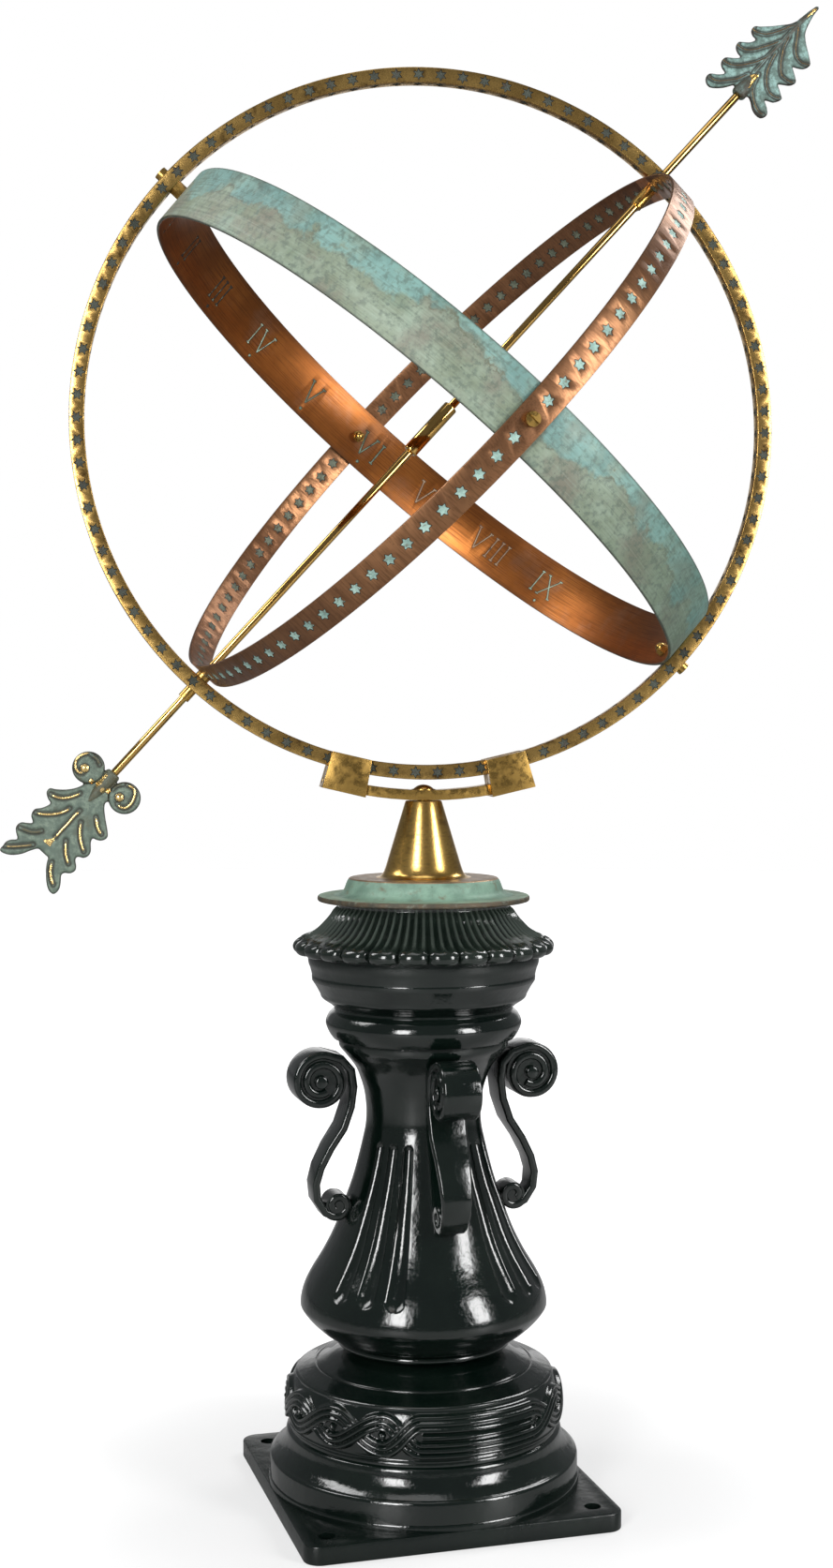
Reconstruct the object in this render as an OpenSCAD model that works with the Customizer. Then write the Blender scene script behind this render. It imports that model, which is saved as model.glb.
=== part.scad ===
/* [Base] */
// Side of the square base plate
plate_size = 214; // [212:1:260]
// Thickness of the base plate
plate_t = 12; // [8:0.5:18]
// Corner radius of the base plate
plate_corner_r = 11; // [4:0.5:18]
// Distance of a ground bolt hole's centre from the plate's edges
hole_inset = 17; // [14:0.5:20]
// Diameter of a ground bolt hole
hole_d = 11; // [7:0.5:12]
// Radius of the foot disc on the plate
foot_r = 105.5; // [100:0.5:106]
// Height of the foot disc
foot_h = 19; // [14:0.5:26]
// Height of the hollow moulding between foot disc and frieze
cove_h = 19.5; // [14:0.5:26]
// Radius of the narrow fillet under the frieze
fillet_r = 91.6; // [90:0.2:94]
// Greatest radius of the carved frieze
frieze_r = 94; // [92:0.5:98]
// Height of the frieze
frieze_h = 36; // [30:0.5:44]
// Height of the shallow dome above the frieze
dome_h = 16.5; // [12:0.5:24]
// Radius of the neck on which the column stands
neck_r = 50; // [44:0.5:54]
// Wall of the hollow base casting
base_wall = 8; // [6:0.5:12]

/* [Column] */
// Height of the column casting
column_h = 211; // [190:1:240]
// Radius of the bead at the foot of the column
bead_r = 60; // [56:0.5:66]
// Greatest radius of the pear-shaped bulb
bulb_r = 84.4; // [76:0.2:90]
// Radius of the narrowest place, the waist
waist_r = 38.8; // [36:0.2:44]
// Radius of the cup under the capital
cup_r = 58; // [54:0.5:61]
// Radius of the hollow core
core_r = 24; // [16:0.5:30]
// Flutes between two neighbouring handles
flutes_per_side = 3; // [2:1:3]
// Angle between two flutes
flute_pitch = 15; // [13:0.5:16]
// Angle that a flute spans
flute_angle = 9; // [6:0.5:10]
// Depth of a flute
flute_depth = 2.5; // [1:0.1:4]

/* [Capital and crown] */
// Height of the capital, from the cup to the scalloped rim
capital_h = 58; // [50:0.5:70]
// Radius of the round collar at the foot of the capital
collar_r = 66.9; // [63:0.1:70]
// Radius at the top of the capital
capital_r = 79; // [76:0.5:81]
// Radius of the scalloped rim, to the top of a scallop
rim_r = 89.5; // [86:0.5:94]
// Thickness of the scalloped rim
rim_t = 13; // [10:0.5:16]
// Height of the pleated cone above the rim
pleat_h = 18; // [14:0.5:24]
// Radius of the seat on top of the pleats
seat_r = 58.5; // [55:0.5:62]
// Height of the seat
seat_h = 4; // [3:0.5:8]
// How far a scallop stands out from the rim's notches
scallop_depth = 5; // [3:0.1:6]
// Number of scallops and pleats
scallops = 26; // [20:1:30]

/* [Handles] */
// Distance of the large scroll's centre from the column's axis
volute_x = 74.5; // [73:0.1:78]
// Radius of the large scroll
volute_r = 20.8; // [18:0.1:22]
// Distance of the small scroll's centre from the column's axis
curl_x = 62.3; // [61:0.1:64]
// Radius of the small scroll
curl_r = 11.2; // [10:0.1:12]
// Thickness of the strap between the scrolls
strap_t = 5.2; // [4:0.1:7]
// Width of a handle at the large scroll
handle_w = 26; // [20:0.5:30]
// Width of a handle at the small scroll
handle_foot_w = 18; // [14:0.5:22]
// Gap between a handle and the column that it is fixed to
handle_seat_gap = 0.2; // [0.1:0.05:0.4]

/* [Head of the pedestal] */
// Radius of the flange plate
flange_r = 72.5; // [66:0.5:76]
// Thickness of the flange plate
flange_t = 4; // [3:0.5:6]
// Radius of the step disc at its foot
step_r = 54; // [46:0.5:58]
// Height of the step disc
step_h = 12; // [8:0.5:18]
// Radius of the cone at its foot
cone_foot_r = 29; // [25:0.5:34]
// Radius of the cone at its top
cone_top_r = 12; // [10:0.5:14]
// Height of the cone
cone_h = 52.2; // [46:0.1:60]
// Diameter of the tie rod that clamps the pedestal together
tie_d = 12; // [10:0.5:14]
// Clearance round the tie rod in the castings
tie_clear = 0.75; // [0.3:0.05:1.2]

/* [Cradle] */
// Turn of the dial on the pedestal
dial_turn = -8.5; // [-180:0.5:180]
// Distance of the dial's middle from the pivot
dial_shift = 2.5; // [0:0.5:4]
// Thickness of the curved bar
bar_t = 7; // [5:0.5:9]
// Width of the curved bar
bar_w = 19; // [14:0.5:22]
// Angle from straight down to the middle of a block
block_angle = 13.2; // [12:0.1:16]
// Half of the angle that a block spans
block_half = 3.4; // [2.6:0.1:4]
// Width of a block across the ring
block_w = 25; // [22:0.5:30]
// Reach of a block's cheeks past the ring's outer edge
cheek_h = 10.5; // [8:0.5:12]
// Height of a block outside the ring
block_base_t = 15; // [13.5:0.5:18]
// Play between the ring and the slots, on each side
slot_clear = 0.15; // [0.1:0.05:0.3]
// Diameter of the pivot screw
pivot_d = 8; // [6:0.5:9]
// Play round the pivot screw
pivot_clear = 0.06; // [0.02:0.01:0.1]

/* [Dial] */
// Latitude that the dial is set to
latitude = 47.5; // [40:0.5:54]
// Outer radius of the meridian ring
ring_r = 240; // [236:1:250]
// Thickness of the meridian ring, radially
ring_t = 10; // [8:0.5:11]
// Width of the meridian ring, across its plane
ring_w = 10; // [8:0.5:12]
// Gap between the meridian ring and the equator band
equator_gap = 6; // [5:0.5:8]
// Thickness of the equator band
equator_t = 2; // [1.5:0.1:2.4]
// Width of the equator band
equator_w = 40; // [30:1:46]
// Thickness of the colure band
colure_t = 1.8; // [1.2:0.1:1.9]
// Width of the colure band
colure_w = 20; // [14:1:24]
// Turn of the colure band about the polar axis
hour_turn = 9.5; // [5:0.5:20]
// Shift of the bands and the rod from the ring's middle, towards the lower bolt
sphere_shift = 3; // [0:0.5:3.5]
// Tilt of the equator band about the screws where the bands cross
equator_tilt = -2.4; // [-3:0.1:3]
// Diameter of the gnomon rod
rod_d = 5.5; // [5:0.1:6]
// Distance from the centre to where the rod enters an arrow end
rod_reach = 318; // [305:1:330]
// Length of the sleeve that joins the rod's halves
sleeve_l = 42; // [30:1:60]
// Diameter of the sleeve
sleeve_d = 10; // [9:0.5:14]
// Diameter of the small bolts
bolt_d = 5; // [4:0.1:5.2]
// Diameter of a small bolt's head
bolt_head_d = 9; // [8:0.5:10]
// Clearance between fixed parts of the dial
fit = 0.05; // [0.03:0.01:0.1]

/* [Arrow ends] */
// Length of the head beyond the rod's entry
head_l = 84; // [70:1:100]
// Half of the head's width at the lobe tips
head_half = 23; // [20:0.5:27]
// Spacing of the head's lobes
head_pitch = 15; // [13:0.5:17]
// Length of the tail beyond the rod's entry
tail_l = 88; // [80:1:104]
// Half of the tail's width at the lobe tips
tail_half = 25; // [22:0.5:28]
// Thickness of the leaf plates
leaf_t = 3.2; // [2:0.1:4.4]

/* [Hidden] */
$fn = 96;
EPS = 0.01;
CUT = 1;

// Levels of the pedestal, from the ground up
foot_top = plate_t + foot_h;
frieze_z = foot_top + cove_h;
frieze_top = frieze_z + frieze_h;
column_z = frieze_top + dome_h;
capital_z = column_z + column_h;
rim_z = capital_z + capital_h;
pleat_z = rim_z + rim_t;
flange_z = pleat_z + pleat_h + seat_h;
step_z = flange_z + flange_t;
cone_z = step_z + step_h;
cone_top = cone_z + cone_h;

// Ground bolts and the hollow of the base
hole_reach = plate_size / 2 - hole_inset;
hollow_slope = 26;
shoulder_z = frieze_top - hollow_slope;

// Tie rod and what it bears on
tie_r = tie_d / 2;
tie_bore_r = tie_r + tie_clear;
ceiling_z = frieze_top - 4.5;
washer_t = 2.5;
tie_washer_r = 2.4 * tie_r;
tie_nut_h = 0.9 * tie_d;
tie_nut_r = 0.92 * tie_d;
tie_below = 5;
tie_z = ceiling_z - washer_t - tie_nut_h - tie_below;
tie_grip = 22;
web_t = 12;
base_hollow_r = fillet_r - base_wall;
ceiling_r = 44;

// Middle of the dial, and the cradle under it
bar_seat_gap = 0.3;
bar_gap = 7;
bar_in = ring_r + bar_gap;
bar_out = bar_in + bar_t;
centre_z = cone_top + bar_seat_gap + bar_out;
slot_r = ring_r + 2 * slot_clear;
block_in = ring_r - cheek_h;
block_out = ring_r + block_base_t;
bar_half = block_angle - block_half;
lock_r = ring_r - ring_t / 2;
screw_d = 4;
screw_head_d = 7;
screw_head_h = 3;
lock_head_d = 9;
lock_head_h = 4;
pivot_r = pivot_d / 2;
pivot_head_r = 7;
pivot_head_h = 3;
pivot_washer_r = 8;
pivot_washer_t = 0.8;
spot_r = pivot_washer_r + 0.6;
spot_depth = 0.15;
pivot_grip = 24;

// Rings of the dial, from the outside in
ring_in = ring_r - ring_t;
equator_out = ring_in - equator_gap;
equator_in = equator_out - equator_t;
band_gap = 1.2;
colure_in = equator_out + band_gap;
colure_out = colure_in + colure_t;
rod_r = rod_d / 2;
rod_bore_r = rod_r + fit;
bolt_r = bolt_d / 2;
bolt_bore_r = bolt_r + fit;
bolt_head_h = 3.5;
nut_across = 8;
nut_h = 4;
nut_dome_r = 3.6;
nut_depth = nut_h + nut_dome_r;
bolt_tip = equator_in - nut_h - 1;
spacer_across = 9;
washer_r = 5;
pole_collar_r = 5;
pole_sleeve_r = 4.3;
pole_sleeve_l = 15;
lower_collar_l = 8;
rod_grip = 8;
rod_end = rod_reach + rod_grip;

// Points of an arc about a centre
function arc(cx, cy, r, a0, a1, n) =
    [for (i = [0:n]) let (a = a0 + (a1 - a0) * i / n) [cx + r * cos(a), cy + r * sin(a)]];

// One point of a smooth curve through four neighbours
function curve_point(p0, p1, p2, p3, t) =
    0.5 * (2 * p1 + (p2 - p0) * t + (2 * p0 - 5 * p1 + 4 * p2 - p3) * t * t
    + (3 * p1 - p0 - 3 * p2 + p3) * t * t * t);

// A smooth curve through all points, with n steps between neighbours
function curve(p, n) = let (last = len(p) - 1) concat(
    [for (i = [0:last - 1], j = [0:n - 1])
        curve_point(p[max(i - 1, 0)], p[i], p[i + 1], p[min(i + 2, last)], j / n)],
    [p[last]]);

// A list in reverse order
function backwards(p) = [for (i = [len(p) - 1:-1:0]) p[i]];

// The same points on the other side of the first axis
function mirrored(p) = backwards([for (q = p) [q[0], -q[1]]]);

// Unit vector square to the curve at point i
function side_of(p, i) = let (
    a = p[max(i - 1, 0)],
    b = p[min(i + 1, len(p) - 1)],
    d = (b - a) / norm(b - a)) [-d[1], d[0]];

// Outline of a strap of even thickness along a curve
function strap(p, t) = concat(
    [for (i = [0:len(p) - 1]) p[i] + side_of(p, i) * t / 2],
    [for (i = [len(p) - 1:-1:0]) p[i] - side_of(p, i) * t / 2]);

// A ring about the vertical axis, with a rectangular section
module band(r_in, r_out, w) {
    rotate_extrude()
        translate([r_in, -w / 2])
            square([r_out - r_in, w]);
}

// The dial's own frame: centre of the ring, front towards -Y
module dial_frame() {
    translate([0, 0, centre_z])
        rotate([0, 0, dial_turn])
            translate([dial_shift, 0, 0])
                children();
}

// The polar frame: Z along the gnomon rod, X towards the lower bolt
module polar_frame() {
    dial_frame()
        rotate([0, 90 - latitude, 0])
            children();
}

// The frame of the bands and the rod, which sit a little off the ring's centre
module sphere_frame() {
    polar_frame()
        translate([sphere_shift, 0, 0])
            children();
}

// The equator band's own frame, tilted about the crossing screws
module equator_frame() {
    sphere_frame()
        rotate([0, equator_tilt, hour_turn])
            children();
}

// Outward along a ring's radius, at an angle right of straight down
module below_centre(angle) {
    rotate([0, 180 - angle, 0])
        children();
}

// Outline of the foot, cove, frieze and dome
foot_ring_r = foot_r + 1;
foot_ring_h = 4;
foot_edge_r = 2;
cove_r = foot_r - 2;
dome_edge_r = frieze_r - 7.6;
foot_profile = concat(
    [[0, plate_t - CUT], [foot_ring_r - 1, plate_t - CUT], [foot_ring_r, plate_t]],
    [[foot_ring_r, plate_t + foot_ring_h - 0.5], [foot_r, plate_t + foot_ring_h]],
    arc(foot_r - foot_edge_r, foot_top - foot_edge_r, foot_edge_r, 0, 90, 4),
    curve([
        [cove_r - 0.5, foot_top + 0.5],
        [cove_r - 5, foot_top + cove_h * 0.22],
        [cove_r - 8.2, foot_top + cove_h * 0.5],
        [fillet_r + 2.4, foot_top + cove_h * 0.8]], 3),
    [[fillet_r, foot_top + cove_h * 0.9], [fillet_r, frieze_z + 1.5]],
    curve([
        [fillet_r + 0.8, frieze_z + 2.4],
        [frieze_r - 0.6, frieze_z + frieze_h * 0.18],
        [frieze_r, frieze_z + frieze_h * 0.34],
        [frieze_r - 0.7, frieze_z + frieze_h * 0.6],
        [frieze_r - 2.4, frieze_z + frieze_h * 0.8],
        [dome_edge_r, frieze_top]], 2),
    curve([
        [dome_edge_r - 8, frieze_top + dome_h * 0.16],
        [dome_edge_r - 16, frieze_top + dome_h * 0.38],
        [neck_r + 10, frieze_top + dome_h * 0.74],
        [neck_r + 4, frieze_top + dome_h * 0.88]], 2),
    [[neck_r, column_z - 0.4], [neck_r, column_z], [0, column_z]]);

module base_plinth() {
    color([0.05, 0.08, 0.07])
    difference() {
        union() {
            plate_blank();
            rotate_extrude()
                polygon(foot_profile);
        }
        translate([0, 0, -CUT])
            cylinder(r = base_hollow_r, h = shoulder_z + CUT);
        translate([0, 0, shoulder_z - EPS])
            cylinder(r1 = base_hollow_r, r2 = ceiling_r, h = ceiling_z - shoulder_z + EPS);
        translate([0, 0, ceiling_z - CUT])
            cylinder(r = tie_bore_r, h = column_z - ceiling_z + 2 * CUT);
        for (x = [-1, 1], y = [-1, 1])
            translate([x * hole_reach, y * hole_reach, -CUT])
                cylinder(d = hole_d, h = plate_t + 2 * CUT);
    }
}

// The square plate with round corners
module plate_blank() {
    span = plate_size - 2 * plate_corner_r;
    translate([-span / 2, -plate_size / 2, 0])
        cube([span, plate_size, plate_t]);
    translate([-plate_size / 2, -span / 2, 0])
        cube([plate_size, span, plate_t]);
    for (x = [-1, 1], y = [-1, 1])
        translate([x * span / 2, y * span / 2, 0])
            cylinder(r = plate_corner_r, h = plate_t);
}

// Key points of the column's outline, as radius and share of its height
column_foot = [
    [neck_r * 1.012, 0.006],
    [bead_r * 0.957, 0.009],
    [bead_r, 0.019],
    [bead_r * 0.963, 0.031]];
column_bulb = [
    [bead_r * 1.017, 0.038],
    [bulb_r * 0.799, 0.048],
    [bulb_r * 0.909, 0.085],
    [bulb_r * 0.985, 0.121],
    [bulb_r, 0.142],
    [bulb_r * 0.979, 0.185],
    [bulb_r * 0.924, 0.232],
    [waist_r * 1.778, 0.303],
    [waist_r * 1.572, 0.379],
    [waist_r * 1.381, 0.474],
    [waist_r * 1.247, 0.545],
    [waist_r * 1.142, 0.616],
    [waist_r * 1.057, 0.678]];
column_waist = [
    [waist_r * 1.01, 0.706],
    [waist_r, 0.725],
    [waist_r * 1.026, 0.749],
    [waist_r * 1.049, 0.777],
    [waist_r * 1.041, 0.8],
    [waist_r * 1.023, 0.82],
    [waist_r * 1.082, 0.863],
    [cup_r * 0.802, 0.906],
    [cup_r * 0.921, 0.948],
    [cup_r, 0.972]];

function column_points(p, grow) =
    [for (q = p) [q[0] + grow, column_z + q[1] * column_h]];

function column_outline(grow) = concat(
    column_points(column_foot, grow),
    curve(column_points(column_bulb, grow), 2),
    curve(column_points(column_waist, grow), 2),
    [[cup_r + grow, capital_z]]);

// Radius of the column's surface between the outline's key points
function column_radius(z) = lookup((z - column_z) / column_h,
    [for (q = concat(column_foot, column_bulb, column_waist)) [q[1], q[0]]]);

flute_low = column_z + 0.225 * column_h;
flute_high = column_z + 0.672 * column_h;

// One sunken flute with round ends, at the front of the +X axis
module flute() {
    steps = 6;
    past = 6;
    zs = [for (i = [0:steps]) flute_low + (flute_high - flute_low) * i / steps];
    rotate([0, 0, -flute_angle / 2])
        rotate_extrude(angle = flute_angle)
            polygon(concat(
                [for (z = zs) [column_radius(z) - flute_depth, z]],
                [for (z = backwards(zs)) [column_radius(z) + past, z]]));
    for (z = [flute_low, flute_high]) {
        r = column_radius(z) - flute_depth;
        translate([r, 0, z])
            rotate([0, 90, 0])
                cylinder(r = r * sin(flute_angle / 2), h = flute_depth + past, $fn = 48);
    }
}

module column() {
    color([0.05, 0.08, 0.07])
    difference() {
        rotate_extrude()
            polygon(concat(
                [[core_r, column_z], [neck_r, column_z]],
                column_outline(0),
                [[core_r, capital_z]]));
        for (side = [0:3], i = [0:flutes_per_side - 1])
            rotate([0, 0, 45 + 90 * side + (i - (flutes_per_side - 1) / 2) * flute_pitch])
                flute();
    }
}

capital_profile = concat(
    curve([
        [collar_r * 0.925, capital_z],
        [collar_r * 0.967, capital_z + capital_h * 0.07],
        [collar_r, capital_z + capital_h * 0.18],
        [collar_r * 0.967, capital_z + capital_h * 0.28],
        [collar_r * 0.916, capital_z + capital_h * 0.33]], 3),
    [[collar_r * 0.913, capital_z + capital_h * 0.36]],
    curve([
        [collar_r * 0.958, capital_z + capital_h * 0.41],
        [capital_r * 0.878, capital_z + capital_h * 0.47],
        [capital_r * 0.899, capital_z + capital_h * 0.53],
        [capital_r * 0.932, capital_z + capital_h * 0.61],
        [capital_r * 0.965, capital_z + capital_h * 0.68]], 2),
    curve([
        [capital_r * 0.967, capital_z + capital_h * 0.75],
        [capital_r * 0.98, capital_z + capital_h * 0.82],
        [capital_r * 0.995, capital_z + capital_h * 0.88],
        [capital_r, capital_z + capital_h * 0.94],
        [capital_r, rim_z]], 2));

module capital() {
    color([0.05, 0.08, 0.07])
    rotate_extrude()
        polygon(concat(
            [[core_r, capital_z]],
            capital_profile,
            [[tie_bore_r, rim_z], [tie_bore_r, rim_z - web_t], [core_r, rim_z - web_t]]));
}

// Levels of the crown: height, radius in a notch, and how far a scallop stands out
crown_rows = [
    [rim_z, rim_r * 0.899, 0.4 * scallop_depth],
    [rim_z + rim_t * 0.14, rim_r * 0.933, 0.92 * scallop_depth],
    [rim_z + rim_t * 0.38, rim_r * 0.944, scallop_depth],
    [rim_z + rim_t * 0.7, rim_r * 0.944, scallop_depth],
    [rim_z + rim_t * 0.92, rim_r * 0.933, 0.92 * scallop_depth],
    [pleat_z, rim_r * 0.916, 0.6 * scallop_depth],
    [pleat_z + pleat_h * 0.1, rim_r * 0.894, -0.32 * scallop_depth],
    [pleat_z + pleat_h * 0.3, seat_r * 1.265, -0.44 * scallop_depth],
    [pleat_z + pleat_h * 0.55, seat_r * 1.137, -0.36 * scallop_depth],
    [pleat_z + pleat_h * 0.8, seat_r * 1.051, -0.24 * scallop_depth],
    [pleat_z + pleat_h * 0.96, seat_r * 1.007, -0.08 * scallop_depth],
    [pleat_z + pleat_h, seat_r, 0],
    [flange_z, seat_r, 0]];

// How far across a scallop an angle lies, 0 in the notch and 1 on top
function scallop(a) = pow(abs(cos(a * scallops / 2)), 0.6);

module crown_solid() {
    per_scallop = 6;
    n = scallops * per_scallop;
    rows = len(crown_rows);
    points = [for (row = crown_rows, j = [0:n - 1])
        let (a = 360 * j / n, r = row[1] + row[2] * scallop(a))
            [r * cos(a), r * sin(a), row[0]]];
    sides = [for (i = [0:rows - 2], j = [0:n - 1])
        let (k = (j + 1) % n, low = i * n, high = low + n)
            each [[low + j, high + j, high + k], [low + j, high + k, low + k]]];
    ends = [[for (j = [0:n - 1]) j], [for (j = [n - 1:-1:0]) (rows - 1) * n + j]];
    polyhedron(points, concat(sides, ends));
}

module pleated_crown() {
    color([0.05, 0.08, 0.07])
    difference() {
        crown_solid();
        translate([0, 0, rim_z - CUT])
            cylinder(r = tie_bore_r, h = flange_z - rim_z + 2 * CUT);
    }
}

// Places of the two scrolls and of the strap, as radius and height
volute_z = column_z + 0.874 * column_h;
curl_z = column_z + 0.473 * column_h;
strap_path = curve([
    [volute_x - 0.192 * volute_r, volute_z + volute_r - strap_t / 2],
    [volute_x - 0.673 * volute_r, volute_z + 0.712 * volute_r],
    [volute_x - volute_r, volute_z + 0.337 * volute_r],
    [volute_x - 1.077 * volute_r, volute_z - 0.192 * volute_r],
    [volute_x - 0.99 * volute_r, volute_z - 0.846 * volute_r],
    [volute_x - 0.75 * volute_r, volute_z - 1.538 * volute_r],
    [curl_x + 0.5 * curl_r, curl_z + 3.482 * curl_r],
    [curl_x + 1.089 * curl_r, curl_z + 2.321 * curl_r],
    [curl_x + 1.357 * curl_r, curl_z + 1.339 * curl_r],
    [curl_x + 1.268 * curl_r, curl_z + 0.402 * curl_r],
    [curl_x + 0.75 * curl_r, curl_z - 0.411 * curl_r],
    [curl_x, curl_z - curl_r + strap_t / 2]], 5);

// Groove that winds in towards a scroll's centre
module spiral_groove(r_out, r_in, depth) {
    groove_w = 2;
    start = 200;
    turns = 1.55;
    steps = round(turns * 24);
    path = [for (i = [0:steps])
        let (r = r_out + (r_in - r_out) * i / steps, a = start - 360 * turns * i / steps)
            [r * cos(a), r * sin(a)]];
    linear_extrude(depth)
        polygon(strap(path, groove_w));
}

// Outline of a handle, in the plane of radius and height
module handle_outline() {
    polygon(strap(strap_path, strap_t));
    translate([volute_x, volute_z])
        circle(r = volute_r);
    translate([curl_x, curl_z])
        circle(r = curl_r);
    polygon([
        [curl_x, curl_z],
        [curl_x, curl_z + curl_r],
        [curl_x + 1.286 * curl_r, curl_z + 0.893 * curl_r],
        [curl_x + 1.25 * curl_r, curl_z + 0.268 * curl_r],
        [curl_x + 0.714 * curl_r, curl_z - 0.357 * curl_r]]);
}

// A scroll handle on the +X side, seated on the column
module scroll_handle() {
    groove_depth = 1.6;
    groove_out = 0.76 * volute_r;
    groove_in = 0.31 * volute_r;
    boss_r = 0.22 * volute_r;
    boss_h = 1.2;
    reach = volute_x + volute_r + CUT;
    low = curl_z - curl_r - CUT;
    high = volute_z + volute_r + CUT;
    color([0.05, 0.08, 0.07])
    difference() {
        union() {
            intersection() {
                rotate([90, 0, 0])
                    linear_extrude(handle_w, center = true)
                        handle_outline();
                rotate([90, 0, 90])
                    linear_extrude(reach)
                        polygon([
                            [-handle_foot_w / 2, low],
                            [handle_foot_w / 2, low],
                            [handle_w / 2, volute_z - volute_r],
                            [handle_w / 2, high],
                            [-handle_w / 2, high],
                            [-handle_w / 2, volute_z - volute_r]]);
            }
            translate([volute_x, 0, volute_z])
                rotate([90, 0, 0])
                    cylinder(r = boss_r, h = handle_w + 2 * boss_h, center = true);
        }
        for (side = [0, 1])
            mirror([0, side, 0])
                translate([volute_x, -handle_w / 2 + groove_depth, volute_z])
                    rotate([90, 0, 0])
                        spiral_groove(groove_out, groove_in, groove_depth + CUT);
        rotate_extrude()
            polygon(concat(
                [[0, column_z], [neck_r, column_z]],
                column_outline(handle_seat_gap),
                [[0, capital_z]]));
    }
}

module handle_right() {
    scroll_handle();
}

module handle_rear() {
    rotate([0, 0, 90])
        scroll_handle();
}

module handle_left() {
    rotate([0, 0, 180])
        scroll_handle();
}

module handle_front() {
    rotate([0, 0, 270])
        scroll_handle();
}

module tie_rod() {
    color("silver")
    translate([0, 0, tie_z])
        cylinder(r = tie_r, h = cone_z + tie_grip - tie_z);
}

module tie_rod_washer() {
    color("silver")
    translate([0, 0, ceiling_z - washer_t])
    difference() {
        cylinder(r = tie_washer_r, h = washer_t);
        translate([0, 0, -CUT])
            cylinder(r = tie_r + 0.3, h = washer_t + 2 * CUT);
    }
}

module tie_rod_nut() {
    color("silver")
    translate([0, 0, ceiling_z - washer_t - tie_nut_h])
    difference() {
        cylinder(r = tie_nut_r, h = tie_nut_h, $fn = 6);
        translate([0, 0, -CUT])
            cylinder(r = tie_r + fit, h = tie_nut_h + 2 * CUT);
    }
}

module flange_plate() {
    edge = 1.2;
    color([0.36, 0.5, 0.44])
    rotate_extrude()
        polygon(concat(
            [[tie_bore_r, flange_z], [flange_r - edge, flange_z]],
            arc(flange_r - edge, flange_z + edge, edge, -90, 0, 4),
            arc(flange_r - edge, step_z - edge, edge, 0, 90, 4),
            [[tie_bore_r, step_z]]));
}

module step_disc() {
    inset = 3;
    color([0.55, 0.42, 0.28])
    rotate_extrude()
        polygon([
            [tie_bore_r, step_z],
            [step_r, step_z],
            [step_r, step_z + 2],
            [step_r - inset, cone_z - 2],
            [step_r - inset - 1, cone_z],
            [tie_bore_r, cone_z]]);
}

module cone() {
    lip_h = 2;
    color([0.8, 0.62, 0.25])
    difference() {
        rotate_extrude()
            polygon(concat(
                [[0, cone_z], [cone_foot_r, cone_z], [cone_foot_r, cone_z + lip_h / 2]],
                [[cone_foot_r - 2, cone_z + lip_h]],
                [[cone_top_r + 0.6, cone_top - 1], [cone_top_r - 0.4, cone_top], [0, cone_top]]));
        translate([0, 0, cone_z - CUT])
            cylinder(r = tie_r + fit, h = tie_grip + 1 + CUT);
        translate([0, 0, cone_top - pivot_grip])
            cylinder(r = pivot_r, h = pivot_grip + CUT);
    }
}

// Height of the flat on which the pivot washer lies
spot_z = centre_z - bar_in - spot_depth;

module pivot_screw() {
    head_z = spot_z + EPS + pivot_washer_t;
    dome_r = (pow(pivot_head_r, 2) + pow(pivot_head_h, 2)) / (2 * pivot_head_h);
    color([0.7, 0.52, 0.22])
    difference() {
        union() {
            translate([0, 0, cone_top - pivot_grip + 1])
                cylinder(r = pivot_r, h = head_z - cone_top + pivot_grip);
            intersection() {
                translate([0, 0, head_z])
                    cylinder(r = pivot_head_r, h = pivot_head_h + CUT);
                translate([0, 0, head_z + pivot_head_h - dome_r])
                    sphere(r = dome_r);
            }
        }
        translate([-pivot_head_r, -0.7, head_z + pivot_head_h - 1.2])
            cube([2 * pivot_head_r, 1.4, 2]);
    }
}

module pivot_washer() {
    color([0.75, 0.6, 0.3])
    translate([0, 0, spot_z + EPS])
    difference() {
        cylinder(r = pivot_washer_r, h = pivot_washer_t);
        translate([0, 0, -CUT])
            cylinder(r = pivot_r, h = pivot_washer_t + 2 * CUT);
    }
}

module cradle_bar() {
    color([0.78, 0.6, 0.26])
    difference() {
        dial_frame()
            rotate([90, 0, 0])
                rotate([0, 0, 270 - bar_half])
                    rotate_extrude(angle = 2 * bar_half)
                        translate([bar_in, -bar_w / 2])
                            square([bar_t, bar_w]);
        translate([0, 0, centre_z - bar_out - CUT])
            cylinder(r = pivot_r + pivot_clear, h = bar_t + 2 * CUT);
        translate([0, 0, spot_z])
            cylinder(r = spot_r, h = bar_t);
        dial_frame()
            for (side = [-1, 1])
                block_screw_place(side)
                    cylinder(d = screw_d + 2 * fit, h = 60);
    }
}

// A slotted block that the meridian ring slides in, straight down from the centre
module block_blank() {
    a = tan(block_half);
    rotate([90, 0, 0])
        linear_extrude(block_w, center = true)
            polygon([
                [block_in * a, block_in],
                [block_out * a, block_out],
                [-block_out * a, block_out],
                [-block_in * a, block_in]]);
}

// Across a block, from its outer side in towards the bar
module block_screw_place(side) {
    below_centre(side * block_angle)
        translate([side * 30, 0, bar_in + bar_t / 2 - 0.5])
            rotate([0, -side * 90, 0])
                children();
}

module block_at(side) {
    color([0.74, 0.56, 0.24])
    dial_frame()
    difference() {
        below_centre(side * block_angle)
            block_blank();
        rotate([90, 0, 0])
            band(block_in - 2 * CUT, slot_r, ring_w + 2 * slot_clear);
        block_screw_place(side) {
            cylinder(d = screw_d + 2 * fit, h = 60);
            cylinder(d = screw_head_d + 2 * fit, h = 30 - tan(block_half) * block_in + 3);
        }
        below_centre(side * block_angle)
            translate([0, 0, lock_r])
                rotate([-90, 0, 0])
                    cylinder(d = screw_d + 2 * fit, h = block_w);
    }
}

module block_left() {
    block_at(-1);
}

module block_right() {
    block_at(1);
}

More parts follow.
